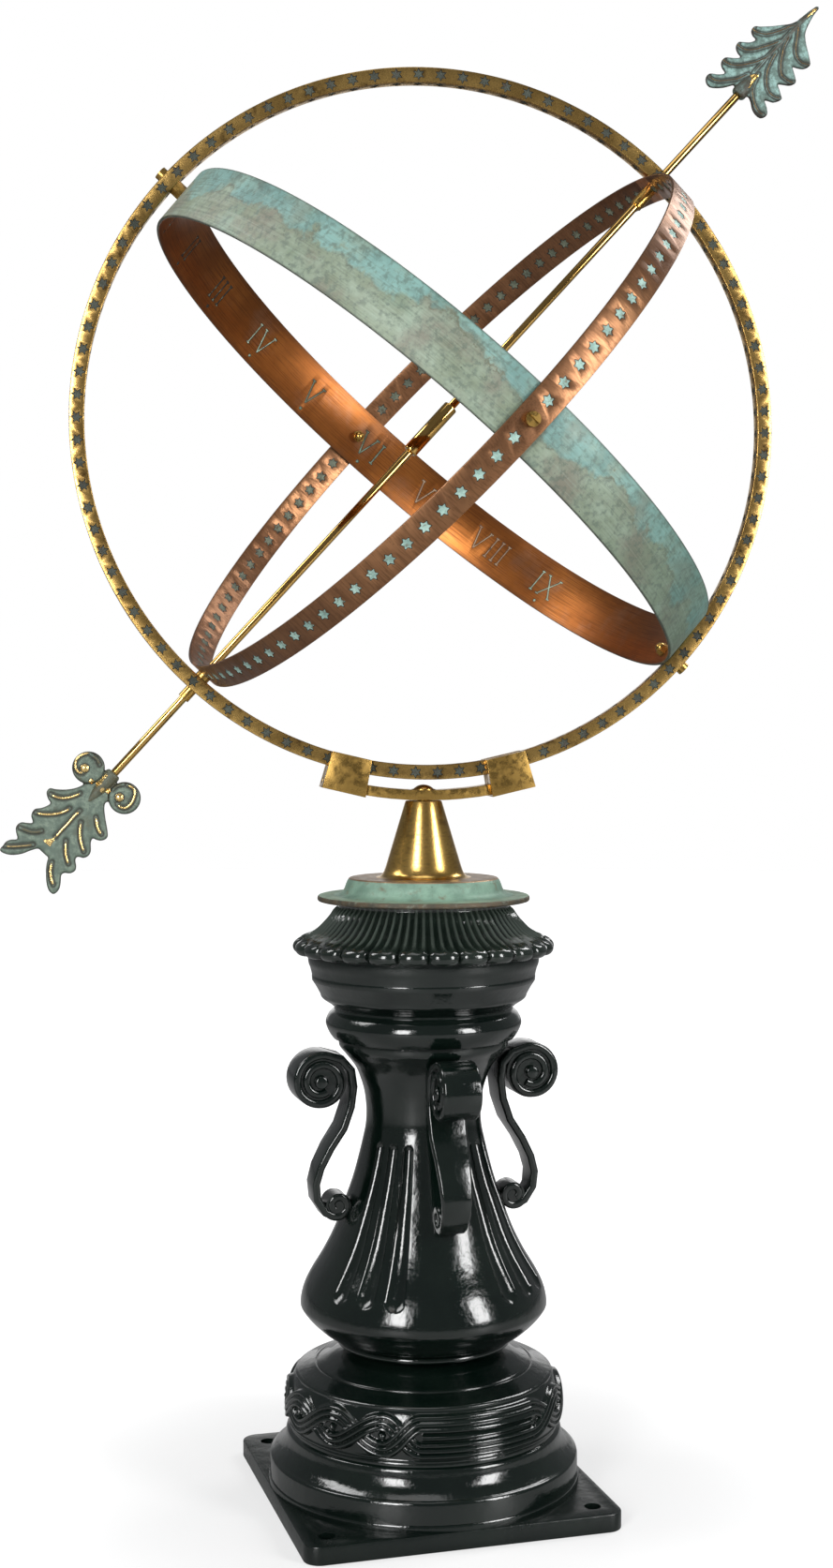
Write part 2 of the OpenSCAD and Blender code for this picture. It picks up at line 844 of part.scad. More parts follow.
module block_screws() {
    head_at = 30 - tan(block_half) * block_in + 3;
    color([0.6, 0.48, 0.28])
    dial_frame()
    for (side = [-1, 1])
        block_screw_place(side) {
            translate([0, 0, head_at - screw_head_h - fit])
                cylinder(d = screw_head_d, h = screw_head_h);
            translate([0, 0, head_at - screw_head_h])
                cylinder(d = screw_d, h = 42 - head_at + screw_head_h);
        }
}

module lock_screws() {
    tip = ring_w / 2 + slot_clear;
    color([0.6, 0.48, 0.28])
    dial_frame()
    for (side = [-1, 1])
        below_centre(side * block_angle)
            translate([0, 0, lock_r])
                rotate([-90, 0, 0]) {
                    translate([0, 0, tip + fit])
                        cylinder(d = screw_d, h = block_w / 2 - tip);
                    translate([0, 0, block_w / 2 + fit])
                        cylinder(d = lock_head_d, h = lock_head_h);
                }
}

module meridian_ring() {
    color([0.85, 0.66, 0.28])
    polar_frame()
    difference() {
        rotate([90, 0, 0])
            band(ring_in, ring_r, ring_w);
        translate([sphere_shift, 0, 0])
            cylinder(r = rod_bore_r, h = 2 * ring_r + 2 * CUT, center = true);
        rotate([0, 90, 0])
            cylinder(r = bolt_bore_r, h = 2 * ring_r + 2 * CUT, center = true);
    }
}

module equator_band() {
    color([0.5, 0.62, 0.56])
    difference() {
        equator_frame()
            band(equator_in, equator_out, equator_w);
        sphere_frame()
            rotate([0, 90, 0])
                cylinder(r = bolt_bore_r, h = 2 * ring_r, center = true);
        equator_frame()
            rotate([90, 0, 0])
                cylinder(r = bolt_bore_r, h = 2 * ring_r, center = true);
    }
}

module colure_band() {
    color([0.6, 0.36, 0.24])
    sphere_frame()
    rotate([0, 0, hour_turn])
    difference() {
        rotate([0, 90, 0])
            band(colure_in, colure_out, colure_w);
        cylinder(r = rod_bore_r, h = 2 * ring_r, center = true);
        rotate([90, 0, 0])
            cylinder(r = bolt_bore_r, h = 2 * ring_r, center = true);
    }
}

module rod_half() {
    cylinder(r = rod_r, h = rod_end);
}

module rod_upper() {
    color([0.82, 0.66, 0.3])
    sphere_frame()
        rod_half();
}

module rod_lower() {
    color([0.82, 0.66, 0.3])
    sphere_frame()
        mirror([0, 0, 1])
            rod_half();
}

module rod_sleeve() {
    edge = 0.6;
    color([0.85, 0.68, 0.3])
    sphere_frame()
    rotate_extrude()
        polygon([
            [rod_bore_r, -sleeve_l / 2],
            [sleeve_d / 2 - edge, -sleeve_l / 2],
            [sleeve_d / 2, -sleeve_l / 2 + edge],
            [sleeve_d / 2, sleeve_l / 2 - edge],
            [sleeve_d / 2 - edge, sleeve_l / 2],
            [rod_bore_r, sleeve_l / 2]]);
}

// A tube on the rod, from one distance to another
module on_rod(r, from, to) {
    translate([0, 0, from])
    difference() {
        cylinder(r = r, h = to - from);
        translate([0, 0, -CUT])
            cylinder(r = rod_bore_r, h = to - from + 2 * CUT);
    }
}

module pole_collars() {
    seat_low = sqrt(pow(ring_in, 2) - pow(pole_collar_r + sphere_shift, 2)) - fit / 2;
    sleeve_top = sqrt(pow(colure_in, 2) - pow(pole_sleeve_r, 2)) - fit / 2;
    color([0.8, 0.63, 0.3])
    sphere_frame() {
        on_rod(pole_collar_r, colure_out + fit, seat_low);
        on_rod(pole_collar_r, -seat_low, -colure_out - fit);
        on_rod(pole_sleeve_r, sleeve_top - pole_sleeve_l, sleeve_top);
        on_rod(pole_sleeve_r - 0.3, -ring_r - lower_collar_l - fit, -ring_r - fit);
    }
}

// A small bolt from outside: round head with a slot, and shank inwards to the tip
module small_bolt(seat, tip) {
    translate([0, 0, tip])
        cylinder(r = bolt_r, h = seat - tip + 0.5);
    difference() {
        translate([0, 0, seat])
            cylinder(d = bolt_head_d, h = bolt_head_h);
        translate([-bolt_head_d, -0.6, seat + bolt_head_h - 1.2])
            cube([2 * bolt_head_d, 1.2, 2]);
    }
}

// A domed nut that faces inwards, with its flat at a distance from the centre
module domed_nut(seat) {
    translate([0, 0, seat])
        mirror([0, 0, 1])
            difference() {
                union() {
                    cylinder(d = nut_across / cos(30), h = nut_h, $fn = 6);
                    translate([0, 0, nut_h])
                        sphere(r = nut_dome_r);
                }
                translate([0, 0, -CUT])
                    cylinder(r = bolt_bore_r, h = nut_h + 1 + CUT + fit);
                translate([0, 0, -2 * nut_dome_r])
                    cylinder(r = nut_across, h = 2 * nut_dome_r);
            }
}

// Outwards along a bolt that holds the equator band to the ring
module at_equator_bolt(side) {
    sphere_frame()
        rotate([0, side * 90, 0])
            children();
}

// Outwards along the screws where the two bands cross
module at_crossings() {
    sphere_frame()
        rotate([0, 0, hour_turn])
            for (turn = [90, -90])
                rotate([turn, 0, 0])
                    children();
}

module equator_bolts() {
    color([0.8, 0.64, 0.3])
    for (side = [-1, 1])
        at_equator_bolt(side)
            small_bolt(ring_r - side * sphere_shift + fit / 2, bolt_tip);
}

module equator_spacers() {
    low = equator_out - CUT;
    high = sqrt(pow(ring_in, 2) - pow(spacer_across / 2 / cos(30), 2)) - fit / 2;
    color([0.75, 0.6, 0.3])
    difference() {
        for (side = [-1, 1])
            at_equator_bolt(side)
                translate([0, 0, low])
                    cylinder(
                        d = spacer_across / cos(30),
                        h = high - side * sphere_shift - low,
                        $fn = 6);
        sphere_frame()
            rotate([0, 90, 0])
                cylinder(r = bolt_bore_r, h = 2 * ring_r, center = true);
        sphere_frame()
            rotate([0, equator_tilt * cos(hour_turn), 0])
                cube([2 * (equator_out + fit), 2 * spacer_across, equator_w], center = true);
    }
}

module equator_nuts() {
    color([0.8, 0.64, 0.3])
    for (side = [-1, 1])
        at_equator_bolt(side)
            domed_nut(sqrt(pow(equator_in, 2) - pow(nut_across / 2 / cos(30), 2)) - fit / 2);
}

module crossing_screws() {
    color([0.8, 0.64, 0.3])
    at_crossings()
        small_bolt(colure_out + fit / 2, bolt_tip);
}

module crossing_spacers() {
    low = equator_out + fit;
    high = sqrt(pow(colure_in, 2) - pow(washer_r, 2)) - fit / 2;
    color([0.75, 0.6, 0.3])
    at_crossings()
        translate([0, 0, low])
            difference() {
                cylinder(r = washer_r, h = high - low);
                translate([0, 0, -CUT])
                    cylinder(r = bolt_bore_r, h = high - low + 2 * CUT);
            }
}

module crossing_nuts() {
    color([0.8, 0.64, 0.3])
    at_crossings()
        domed_nut(sqrt(pow(equator_in, 2) - pow(nut_across / 2 / cos(30), 2)) - fit / 2);
}

// A leaf's frame: first axis along the rod from its entry, second across it
module leaf_frame(side) {
    sphere_frame()
        mirror([0, 0, side])
            translate([0, 0, rod_reach])
                rotate([0, -90, 90])
                    children();
}

// A lobe with round ends between two points of a leaf
function lobe(a, ra, b, rb) = let (
    d = b - a,
    along = atan2(d[1], d[0]),
    lean = asin((ra - rb) / norm(d)))
    concat(
        arc(a[0], a[1], ra, along + 90 - lean, along + 270 + lean, 8),
        arc(b[0], b[1], rb, along - 90 + lean, along + 90 - lean, 10));

// A raised rib between two points of a leaf, thicker at its outer end
module rib(a, ra, b, rb) {
    d = b - a;
    translate([a[0], a[1], 0])
        rotate([0, 0, atan2(d[1], d[0])])
            rotate([0, 90, 0])
                cylinder(r1 = ra, r2 = rb, h = norm(d), $fn = 24);
}

// Socket that takes the rod's end
module socket(r, l) {
    translate([-2, 0, 0])
        rotate([0, 90, 0])
            cylinder(r = r, h = l);
}

module rod_bore() {
    before = 6;
    translate([-before, 0, 0])
        rotate([0, 90, 0])
            cylinder(r = rod_bore_r, h = rod_grip + before + fit);
}

// The arrow head: a leaf with four lobes a side swept back, and a slender point
lobe_r = 5.2;
head_lobes = [for (i = [0:3]) [head_l - 44 - i * head_pitch, head_half - lobe_r]];
head_blade = [
    [head_l, 0.4],
    [head_l - 11, 1.2],
    [head_l - 16, 2.2],
    [head_l - 21, 4.3],
    [head_l - 34, 11.5],
    [head_l - 49.5, 14.5],
    [head_l - 80, 15],
    [head_l - 88, 8]];

module arrow_head() {
    color([0.45, 0.55, 0.45])
    leaf_frame(0)
    difference() {
        union() {
            linear_extrude(leaf_t, center = true)
                polygon(concat(head_blade, mirrored(head_blade)));
            for (side = [0, 1])
                mirror([0, side, 0])
                    for (p = head_lobes) {
                        linear_extrude(leaf_t, center = true)
                            polygon(lobe([p[0] + 11, 4], lobe_r, p, lobe_r));
                        rib([p[0] + 12, 3], 1.7, p, 2.5);
                    }
            rib([0, 0], 4, [head_l - 11, 0], 1.7);
            socket(5.6, 12);
        }
        rod_bore();
    }
}

// The arrow tail: two scrolls, then lobes that flare to a forked end
scroll_r = 10.5;
scroll_at = [6.5, 17];
tail_pitch = 16.2;
tail_tips = [for (i = [0:2]) [tail_l - 50.5 + i * tail_pitch, tail_half]];
tail_edge = concat(
    [[2, 5], [tail_l - 72, 9.5]],
    [for (p = tail_tips) each concat(
        [[p[0] - 8, p[1] - 4.2]],
        arc(p[0] - 1.6, p[1] - 2.4, 2.4, 110, 10, 4),
        [[p[0] + 4.5, p[1] - 6]])],
    arc(tail_l - 3, tail_half - 3, 3, 110, -20, 5),
    [[tail_l - 18, 4], [tail_l - 19, 0]]);

module arrow_tail() {
    color([0.45, 0.5, 0.42])
    leaf_frame(1)
    difference() {
        union() {
            linear_extrude(leaf_t, center = true)
                polygon(concat(tail_edge, mirrored(tail_edge)));
            for (side = [0, 1])
                mirror([0, side, 0]) {
                    translate([scroll_at[0], scroll_at[1], 0]) {
                        cylinder(r = scroll_r, h = leaf_t + 0.8, center = true);
                        cylinder(r = scroll_r / 3, h = leaf_t + 3, center = true);
                    }
                    for (p = tail_tips)
                        rib([p[0] - 16, 4], 1.7, p - [3, 4], 2.4);
                    rib([tail_l - 22, 7], 1.7, [tail_l - 5, tail_half - 5], 2.4);
                }
            rib([0, 0], 3.6, [tail_l - 24, 0], 2.4);
            socket(5.6, 12);
        }
        rod_bore();
    }
}

base_plinth();
column();
capital();
pleated_crown();
handle_right();
handle_rear();
handle_left();
handle_front();
tie_rod();
tie_rod_washer();
tie_rod_nut();
flange_plate();
step_disc();
cone();
pivot_screw();
pivot_washer();
cradle_bar();
block_left();
block_right();
block_screws();
lock_screws();
meridian_ring();
equator_band();
colure_band();
rod_upper();
rod_lower();
rod_sleeve();
pole_collars();
equator_bolts();
equator_spacers();
equator_nuts();
crossing_screws();
crossing_spacers();
crossing_nuts();
arrow_head();
arrow_tail();
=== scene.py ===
import math

import bpy
from mathutils import Euler, Matrix, Vector, kdtree


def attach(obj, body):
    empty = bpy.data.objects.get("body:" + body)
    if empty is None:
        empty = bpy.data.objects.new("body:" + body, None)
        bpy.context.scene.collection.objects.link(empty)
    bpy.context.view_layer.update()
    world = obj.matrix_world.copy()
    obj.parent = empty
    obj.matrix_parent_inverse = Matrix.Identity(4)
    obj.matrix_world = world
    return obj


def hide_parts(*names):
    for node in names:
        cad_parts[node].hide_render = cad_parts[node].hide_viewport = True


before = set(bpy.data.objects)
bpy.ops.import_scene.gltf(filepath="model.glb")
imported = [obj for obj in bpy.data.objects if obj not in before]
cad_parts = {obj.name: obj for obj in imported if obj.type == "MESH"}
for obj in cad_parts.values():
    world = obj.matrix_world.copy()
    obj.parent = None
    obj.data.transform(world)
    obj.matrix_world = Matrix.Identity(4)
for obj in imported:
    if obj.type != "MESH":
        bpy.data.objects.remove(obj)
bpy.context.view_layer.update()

print("frame loaded:", len(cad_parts), "nodes")

# where the rings sit, all in metres
dial = {
    "height": 0.7295,
    "turn": math.radians(-8.5),         # the dial's turn on the pedestal
    "shift": 0.0025,                    # its middle, off the pivot
    "latitude": math.radians(47.5),
    "sphereShift": 0.003,               # bands and rod, off the ring's middle
    "hourTurn": math.radians(9.5),      # the colure's turn round the rod
    "equatorTilt": math.radians(-2.4),
    "rodReach": 0.318,
}
dialFrame = (
    Matrix.Translation((0, 0, dial["height"]))
    @ Matrix.Rotation(dial["turn"], 4, "Z")
    @ Matrix.Translation((dial["shift"], 0, 0)))
polarFrame = dialFrame @ Matrix.Rotation(math.pi / 2 - dial["latitude"], 4, "Y")
sphereFrame = polarFrame @ Matrix.Translation((dial["sphereShift"], 0, 0))
hourFrame = sphereFrame @ Matrix.Rotation(dial["hourTurn"], 4, "Z")
equatorFrame = hourFrame @ Matrix.Rotation(dial["equatorTilt"], 4, "Y")


# camera, lights and floor

class Tree:  # short ways to add nodes to a material, a group or the world
    def __init__(self, tree):
        self.tree = tree

    # inputs are a socket's name or number, and its value or the socket that feeds it
    def add(self, kind, inputs=(), **settings):
        node = self.tree.nodes.new("ShaderNode" + kind)
        for name, value in settings.items():
            setattr(node, name, value)
        for name, value in dict(inputs).items():
            self.feed(node.inputs[name], value)
        return node

    def feed(self, socket, value):
        if isinstance(value, bpy.types.NodeSocket):
            self.tree.links.new(value, socket)
        else:
            socket.default_value = value

    def math(self, operation, *values, clamp=False):
        return self.add("Math", enumerate(values), operation=operation, use_clamp=clamp).outputs[0]

    def plus(self, first, second):
        return self.math("ADD", first, second)

    def minus(self, first, second):
        return self.math("SUBTRACT", first, second)

    def times(self, first, second):
        return self.math("MULTIPLY", first, second)

    def hypotenuse(self, across, along):
        return self.math("SQRT", self.plus(self.times(across, across), self.times(along, along)))

    def split(self, place):
        return self.add("SeparateXYZ", {0: place}).outputs

    def streaks(self, x, y, z):  # noise, stretched by what each direction is given
        place = self.add("CombineXYZ", {"X": x, "Y": y, "Z": z}).outputs[0]
        return self.add("TexNoise", {"Vector": place, "Scale": 1, "Detail": 4}).outputs["Fac"]

    def step(self, value, low, high):  # 0 below low, 1 above high
        inputs = {"Value": value, "From Min": low, "From Max": high}
        return self.add("MapRange", inputs, interpolation_type="SMOOTHSTEP").outputs["Result"]

    def range(self, mask, low, high):
        return self.add("MapRange", {"Value": mask, "To Min": low, "To Max": high}).outputs["Result"]


view = {
    "distance": 1.4,                    # from the column's axis
    "azimuth": math.radians(-16.2),     # to the left of the plate's front
    "height": 0.528,
    "pitch": math.radians(-1.7),
    "pan": math.radians(0.196),
    "lens": 47.13, "sensor": 36,
}


def addCamera():
    across = view["azimuth"]
    look = Vector((-math.sin(across), math.cos(across), math.tan(view["pitch"])))
    look.rotate(Euler((0, 0, view["pan"])))
    camera = bpy.data.objects.new("camera", bpy.data.cameras.new("camera"))
    bpy.context.collection.objects.link(camera)
    camera.location = Vector((math.sin(across), -math.cos(across), 0)) * view["distance"]
    camera.location.z = view["height"]
    camera.rotation_euler = look.to_track_quat("-Z", "Y").to_euler()
    camera.data.lens = view["lens"]
    camera.data.sensor_width = view["sensor"]
    bpy.context.scene.camera = camera


lamps = {  # place, height of what it is aimed at, size, power
    "keyLeft": ((-1.35, -1.62, 1.0), 0.55, (0.55, 1.25), 37),
    "keyRight": ((1.3, -1.62, 0.95), 0.5, (0.55, 1.25), 34),
    "sideLeft": ((-1.2, 0.4, 1.65), 0.45, (0.5, 0.9), 11),
    "sideRight": ((1.2, 0.5, 1.65), 0.45, (0.5, 0.9), 11),
    "softTop": ((-0.2, -0.3, 2.5), 0.5, (1.1, 1.1), 6),
}


def addLamps():
    for name, (place, aim, size, power) in lamps.items():
        data = bpy.data.lights.new(name, "AREA")
        data.shape = "RECTANGLE"
        data.size, data.size_y = size
        data.energy = power
        item = bpy.data.objects.new(name, data)
        bpy.context.collection.objects.link(item)
        item.location = place
        toTarget = Vector((0, 0, aim)) - item.location
        item.rotation_euler = toTarget.to_track_quat("-Z", "Y").to_euler()


studio = {
    "tint": (0.95, 0.97, 1, 1), "dim": 0.17,  # what lights the object from all round
    "backdrop": (0.9, 0.99),            # how far behind the object its white begins, as a cosine
}


def addWorld():
    world = bpy.data.worlds.new("studio")
    bpy.context.scene.world = world
    world.use_nodes = True
    world.node_tree.nodes.clear()
    tree = Tree(world.node_tree)
    path = tree.add("LightPath").outputs
    soft = tree.add("Background", {"Color": studio["tint"], "Strength": studio["dim"]})
    white = tree.add("Background", {"Color": (1, 1, 1, 1), "Strength": 1})
    # the camera sees white all round; metal and gloss see it where the backdrop hangs
    direction = tree.add("TexCoord").outputs["Generated"]
    behind = (-math.sin(view["azimuth"]), math.cos(view["azimuth"]), 0)
    facing = tree.add(
        "VectorMath", {0: direction, 1: behind}, operation="DOT_PRODUCT").outputs["Value"]
    mirrored = tree.plus(path["Is Glossy Ray"], path["Is Transmission Ray"])
    hung = tree.times(mirrored, tree.step(facing, *studio["backdrop"]))
    seen = tree.math("ADD", path["Is Camera Ray"], hung, clamp=True)
    mix = tree.add("MixShader", {"Fac": seen, 1: soft.outputs[0], 2: white.outputs[0]})
    tree.add("OutputWorld", {"Surface": mix.outputs[0]})


paleFloor = {
    "radius": 6, "colour": (0.38, 0.38, 0.38, 1), "roughness": 0.55,
    "glow": 0.55, "near": 0.14, "far": 0.5,  # from this much glow near the object to full white
}


def addFloor():
    bpy.ops.mesh.primitive_circle_add(vertices=96, radius=paleFloor["radius"], fill_type="NGON")
    floor = bpy.context.active_object
    floor.name = "floor"
    paint = bpy.data.materials.new("paleFloor")
    paint.use_nodes = True
    tree = Tree(paint.node_tree)
    # to the camera the floor is nearly white, and far from the object it turns into the backdrop
    place = tree.add("TexCoord").outputs["Object"]
    reach = tree.add("VectorMath", {0: place}, operation="LENGTH").outputs["Value"]
    fade = tree.add("MapRange", {
        "Value": reach, "From Min": paleFloor["near"], "From Max": paleFloor["far"],
        "To Min": paleFloor["glow"]}, interpolation_type="SMOOTHSTEP").outputs["Result"]
    shader = paint.node_tree.nodes["Principled BSDF"].inputs
    tree.feed(shader["Base Color"], paleFloor["colour"])
    tree.feed(shader["Roughness"], paleFloor["roughness"])
    tree.feed(shader["Emission Color"], (1, 1, 1, 1))
    seen = tree.add("LightPath").outputs["Is Camera Ray"]
    tree.feed(shader["Emission Strength"], tree.times(fade, seen))
    floor.data.materials.append(paint)


addCamera()
addLamps()
addWorld()
addFloor()
bpy.context.scene.view_settings.view_transform = "Standard"
print("stage set")


# shader groups that several finishes share

def makeGroup(name, inputs, output, build):
    group = bpy.data.node_groups.new(name, "ShaderNodeTree")
    for title, value in inputs.items():
        kind = "NodeSocketVector" if value is None else "NodeSocketFloat"
        socket = group.interface.new_socket(name=title, in_out="INPUT", socket_type=kind)
        if value is not None:
            socket.default_value = value
    group.interface.new_socket(name=output, in_out="OUTPUT", socket_type="NodeSocketFloat")
    start = group.nodes.new("NodeGroupInput")
    end = group.nodes.new("NodeGroupOutput")
    group.links.new(build(Tree(group), start.outputs), end.inputs[output])
    return group


def mottleMask(tree, given):  # soft patches, from 0 to 1
    noise = tree.add("TexNoise", {
        "Vector": given["Vector"], "Scale": given["Scale"], "Detail": 7, "Roughness": 0.62})
    return tree.step(noise.outputs["Fac"], given["Low"], given["High"])


def speckMask(tree, given):  # small round spots of uneven size, from 0 to 1
    place, scale = given["Vector"], given["Scale"]
    cells = tree.add("TexVoronoi", {"Vector": place, "Scale": scale, "Randomness": 1})
    noise = tree.add("TexNoise", {"Vector": place, "Scale": tree.times(scale, 0.3)})
    size = tree.times(tree.minus(noise.outputs["Fac"], 0.34), given["Size"])
    gap = tree.minus(tree.times(size, 4.0), cells.outputs["Distance"])
    return tree.math("MULTIPLY", gap, 9.0, clamp=True)


def ringLines(tree, given):  # fine lines that run round the Z axis
    place = tree.split(given["Vector"])
    turn = tree.math("ARCTAN2", place["Y"], place["X"])
    return tree.streaks(
        tree.times(tree.hypotenuse(place["X"], place["Y"]), given["Density"]),
        tree.times(turn, 6.0), tree.times(place["Z"], given["Density"]))


mottleGroup = makeGroup(
    "mottle", {"Vector": None, "Scale": 20.0, "Low": 0.4, "High": 0.6}, "Mask", mottleMask)
speckGroup = makeGroup("specks", {"Vector": None, "Scale": 200.0, "Size": 0.16}, "Mask", speckMask)
ringGrainGroup = makeGroup("ringGrain", {"Vector": None, "Density": 900.0}, "Lines", ringLines)


class Finish(Tree):  # a material under construction, and the colour reached so far
    def __init__(self, name, metallic=0.0):
        self.material = bpy.data.materials.new(name)
        self.material.use_nodes = True
        super().__init__(self.material.node_tree)
        self.place = self.add("TexCoord").outputs["Object"]
        self.give("Metallic", metallic)

    def give(self, name, value):
        self.feed(self.tree.nodes["Principled BSDF"].inputs[name], value)

    def shared(self, group, place, **inputs):
        return self.add("Group", {"Vector": place, **inputs}, node_tree=group).outputs[0]

    def mottle(self, scale, low, high):
        return self.shared(mottleGroup, self.place, Scale=scale, Low=low, High=high)

    def specks(self, scale, size):
        return self.shared(speckGroup, self.place, Scale=scale, Size=size)

    def ringGrain(self, place, density):
        return self.shared(ringGrainGroup, place, Density=density)

    def turned(self, matrix):  # object coordinates as seen from a piece's own axes
        inverse = matrix.inverted()
        inputs = {"Location": inverse.translation, "Rotation": inverse.to_euler()}
        return self.add("Mapping", {"Vector": self.place, **inputs}).outputs[0]

    def attribute(self, name):
        return self.add("Attribute", attribute_name=name).outputs["Fac"]

    def uneven(self, scale, size):  # noise about 0
        return self.times(self.minus(self.mottle(scale, 0.25, 0.75), 0.5), size)

    def mix(self, mask, first, second):
        first, second = ((*c, 1) if isinstance(c, tuple) else c for c in (first, second))
        inputs = {"Factor": mask, "A": first, "B": second}
        return self.add("Mix", inputs, data_type="RGBA").outputs["Result"]

    def start(self, mask, first, second):
        self.colour = self.mix(mask, first, second)

    def cover(self, mask, colour, share=1):  # one more colour where the mask is
        self.colour = self.mix(mask if share == 1 else self.times(mask, share), self.colour, colour)

    def done(self, rough, height, depth, strength):
        bump = self.add("Bump", {"Height": height, "Distance": depth, "Strength": strength})
        self.give("Base Color", self.colour)
        self.give("Roughness", rough)
        self.give("Normal", bump.outputs[0])
        return self.material


def makeEnamel(name, dark, pale, smooth, rough, wearAndSheen=None):
    paint = Finish(name)
    place = paint.split(paint.place)
    paint.start(paint.mottle(18, 0.35, 0.7), dark, pale)
    if wearAndSheen:                            # painted sheen: paler along the ridges of the crown's pleats, in place of the lamps' reflections on them
        turn = paint.math("ARCTAN2", place["Y"], place["X"])
        ridge = paint.step(paint.math("COSINE", paint.times(turn, float(wearAndSheen["pleats"]))), -0.1, 0.95)
        paint.cover(paint.times(ridge, paint.step(place["Z"], *wearAndSheen["height"])), wearAndSheen["colour"])
    # the flat plate under the base is duller than the castings on it
    dull = paint.step(place["Z"], 0.016, 0.012)
    paint.give("Coat Weight", paint.range(dull, 0.4, 0.0))
    paint.give("Coat Roughness", 0.02)
    gloss = paint.range(paint.mottle(45, 0.3, 0.8), smooth, rough)
    # the brushed waves under the gloss, and a little grit
    waves = paint.plus(paint.mottle(70, 0.2, 0.8), paint.times(paint.mottle(260, 0.2, 0.8), 0.06))
    return paint.done(paint.plus(gloss, paint.times(dull, 0.22)), waves, 0.0011, 0.22)


def makeBrass(name, bright, dull, deep, roughness, matrix=None, density=1400, scale=26, pits=0.1,
              uneven=0.5):
    brass = Finish(name, metallic=1.0)
    brass.start(brass.mottle(scale, 0.4, 0.66), bright, dull)
    brass.cover(brass.mottle(scale * 2.7, 0.56, 0.74), deep)
    brass.cover(brass.specks(620, pits), deep)
    rough = brass.mottle(scale * 3, 0.3, 0.7)
    height = brass.mottle(scale * 5, 0.2, 0.8)
    if matrix is not None:              # brushed round this axis
        rough = height = brass.ringGrain(brass.turned(matrix), density)
        brass.cover(brass.step(rough, 0.46, 0.66), deep, 0.55)
    return brass.done(brass.range(rough, roughness * 0.7, roughness * 1.4), height, 0.00005, uneven)


def makePatina(name, pale, deep, brown, scale, roughness=0.6, metallic=0.2):
    patina = Finish(name, metallic)
    patina.start(patina.mottle(scale, 0.38, 0.62), pale, deep)
    patina.cover(patina.mottle(scale * 2.3, 0.52, 0.7), brown)
    patina.cover(patina.specks(scale * 9, 0.13), (0.03, 0.03, 0.02))
    rough = patina.range(patina.mottle(scale * 3, 0.3, 0.7), roughness * 0.8, roughness * 1.2)
    return patina.done(rough, patina.mottle(scale * 9, 0.3, 0.7), 0.0002, 0.5)


def makeVerdigris():  # grey green below a wavy tide line, turquoise above it, brushed round
    skin = Finish("verdigris", metallic=0.12)
    local = skin.turned(equatorFrame)
    height = skin.split(local)["Z"]
    tide = skin.plus(skin.plus(height, skin.uneven(11, 0.03)), skin.uneven(80, 0.006))
    above = skin.step(tide, 0.0022, 0.0075)
    skin.start(skin.mottle(30, 0.35, 0.68), (0.175, 0.215, 0.145), (0.26, 0.325, 0.25))
    skin.cover(skin.mottle(23, 0.44, 0.64), (0.16, 0.135, 0.105), 0.75)
    turquoise = skin.mix(skin.mottle(42, 0.36, 0.66), (0.195, 0.35, 0.32), (0.125, 0.24, 0.22))
    skin.cover(skin.times(above, skin.range(skin.mottle(34, 0.42, 0.62), 1.0, 0.45)), turquoise)
    skin.cover(skin.mottle(19, 0.53, 0.7), (0.15, 0.27, 0.21), 0.5)
    line = skin.times(
        skin.step(tide, 0.0022, 0.0038), skin.minus(1.0, skin.step(tide, 0.0040, 0.0060)))
    skin.cover(skin.times(line, skin.mottle(60, 0.42, 0.62)), (0.11, 0.10, 0.06), 0.75)
    # greener to the right
    skin.cover(skin.step(skin.split(skin.place)["X"], 0.0, 0.2), (0.10, 0.195, 0.145), 0.5)
    grain = skin.ringGrain(local, 1100)
    scored = skin.times(
        skin.step(grain, 0.47, 0.66), skin.range(skin.mottle(40, 0.35, 0.65), 0.05, 0.4))
    skin.cover(scored, (0.085, 0.105, 0.075))
    skin.cover(skin.step(grain, 0.44, 0.30), (0.32, 0.40, 0.33), 0.16)
    skin.cover(skin.mottle(26, 0.61, 0.7), (0.06, 0.11, 0.10), 0.7)
    skin.cover(skin.mottle(280, 0.46, 0.64), (0.075, 0.105, 0.085), 0.55)
    skin.cover(skin.specks(230, 0.1), (0.05, 0.07, 0.05))
    skin.cover(skin.step(skin.math("ABSOLUTE", height), 0.0187, 0.0199), (0.035, 0.045, 0.03), 0.85)
    relief = skin.plus(grain, skin.mottle(120, 0.3, 0.7))
    return skin.done(skin.range(grain, 0.38, 0.72), relief, 0.00012, 0.5)


def makeInnerCopper():  # brushed and sun-browned, stains across the band
    skin = Finish("innerCopper", metallic=0.93)
    local = skin.turned(equatorFrame)
    grain = skin.ringGrain(local, 1500)
    skin.start(skin.mottle(14, 0.36, 0.64), (0.37, 0.13, 0.03), (0.24, 0.08, 0.019))
    skin.cover(skin.mottle(24, 0.52, 0.7), (0.27, 0.13, 0.07), 0.6)
    skin.cover(skin.step(grain, 0.46, 0.64), (0.12, 0.04, 0.013), 0.6)
    skin.cover(skin.specks(330, 0.105), (0.09, 0.04, 0.02))
    edge = skin.step(skin.math("ABSOLUTE", skin.split(local)["Z"]), 0.0155, 0.0199)
    skin.cover(edge, (0.15, 0.06, 0.025), 0.6)
    return skin.done(skin.range(grain, 0.27, 0.46), grain, 0.00006, 0.6)


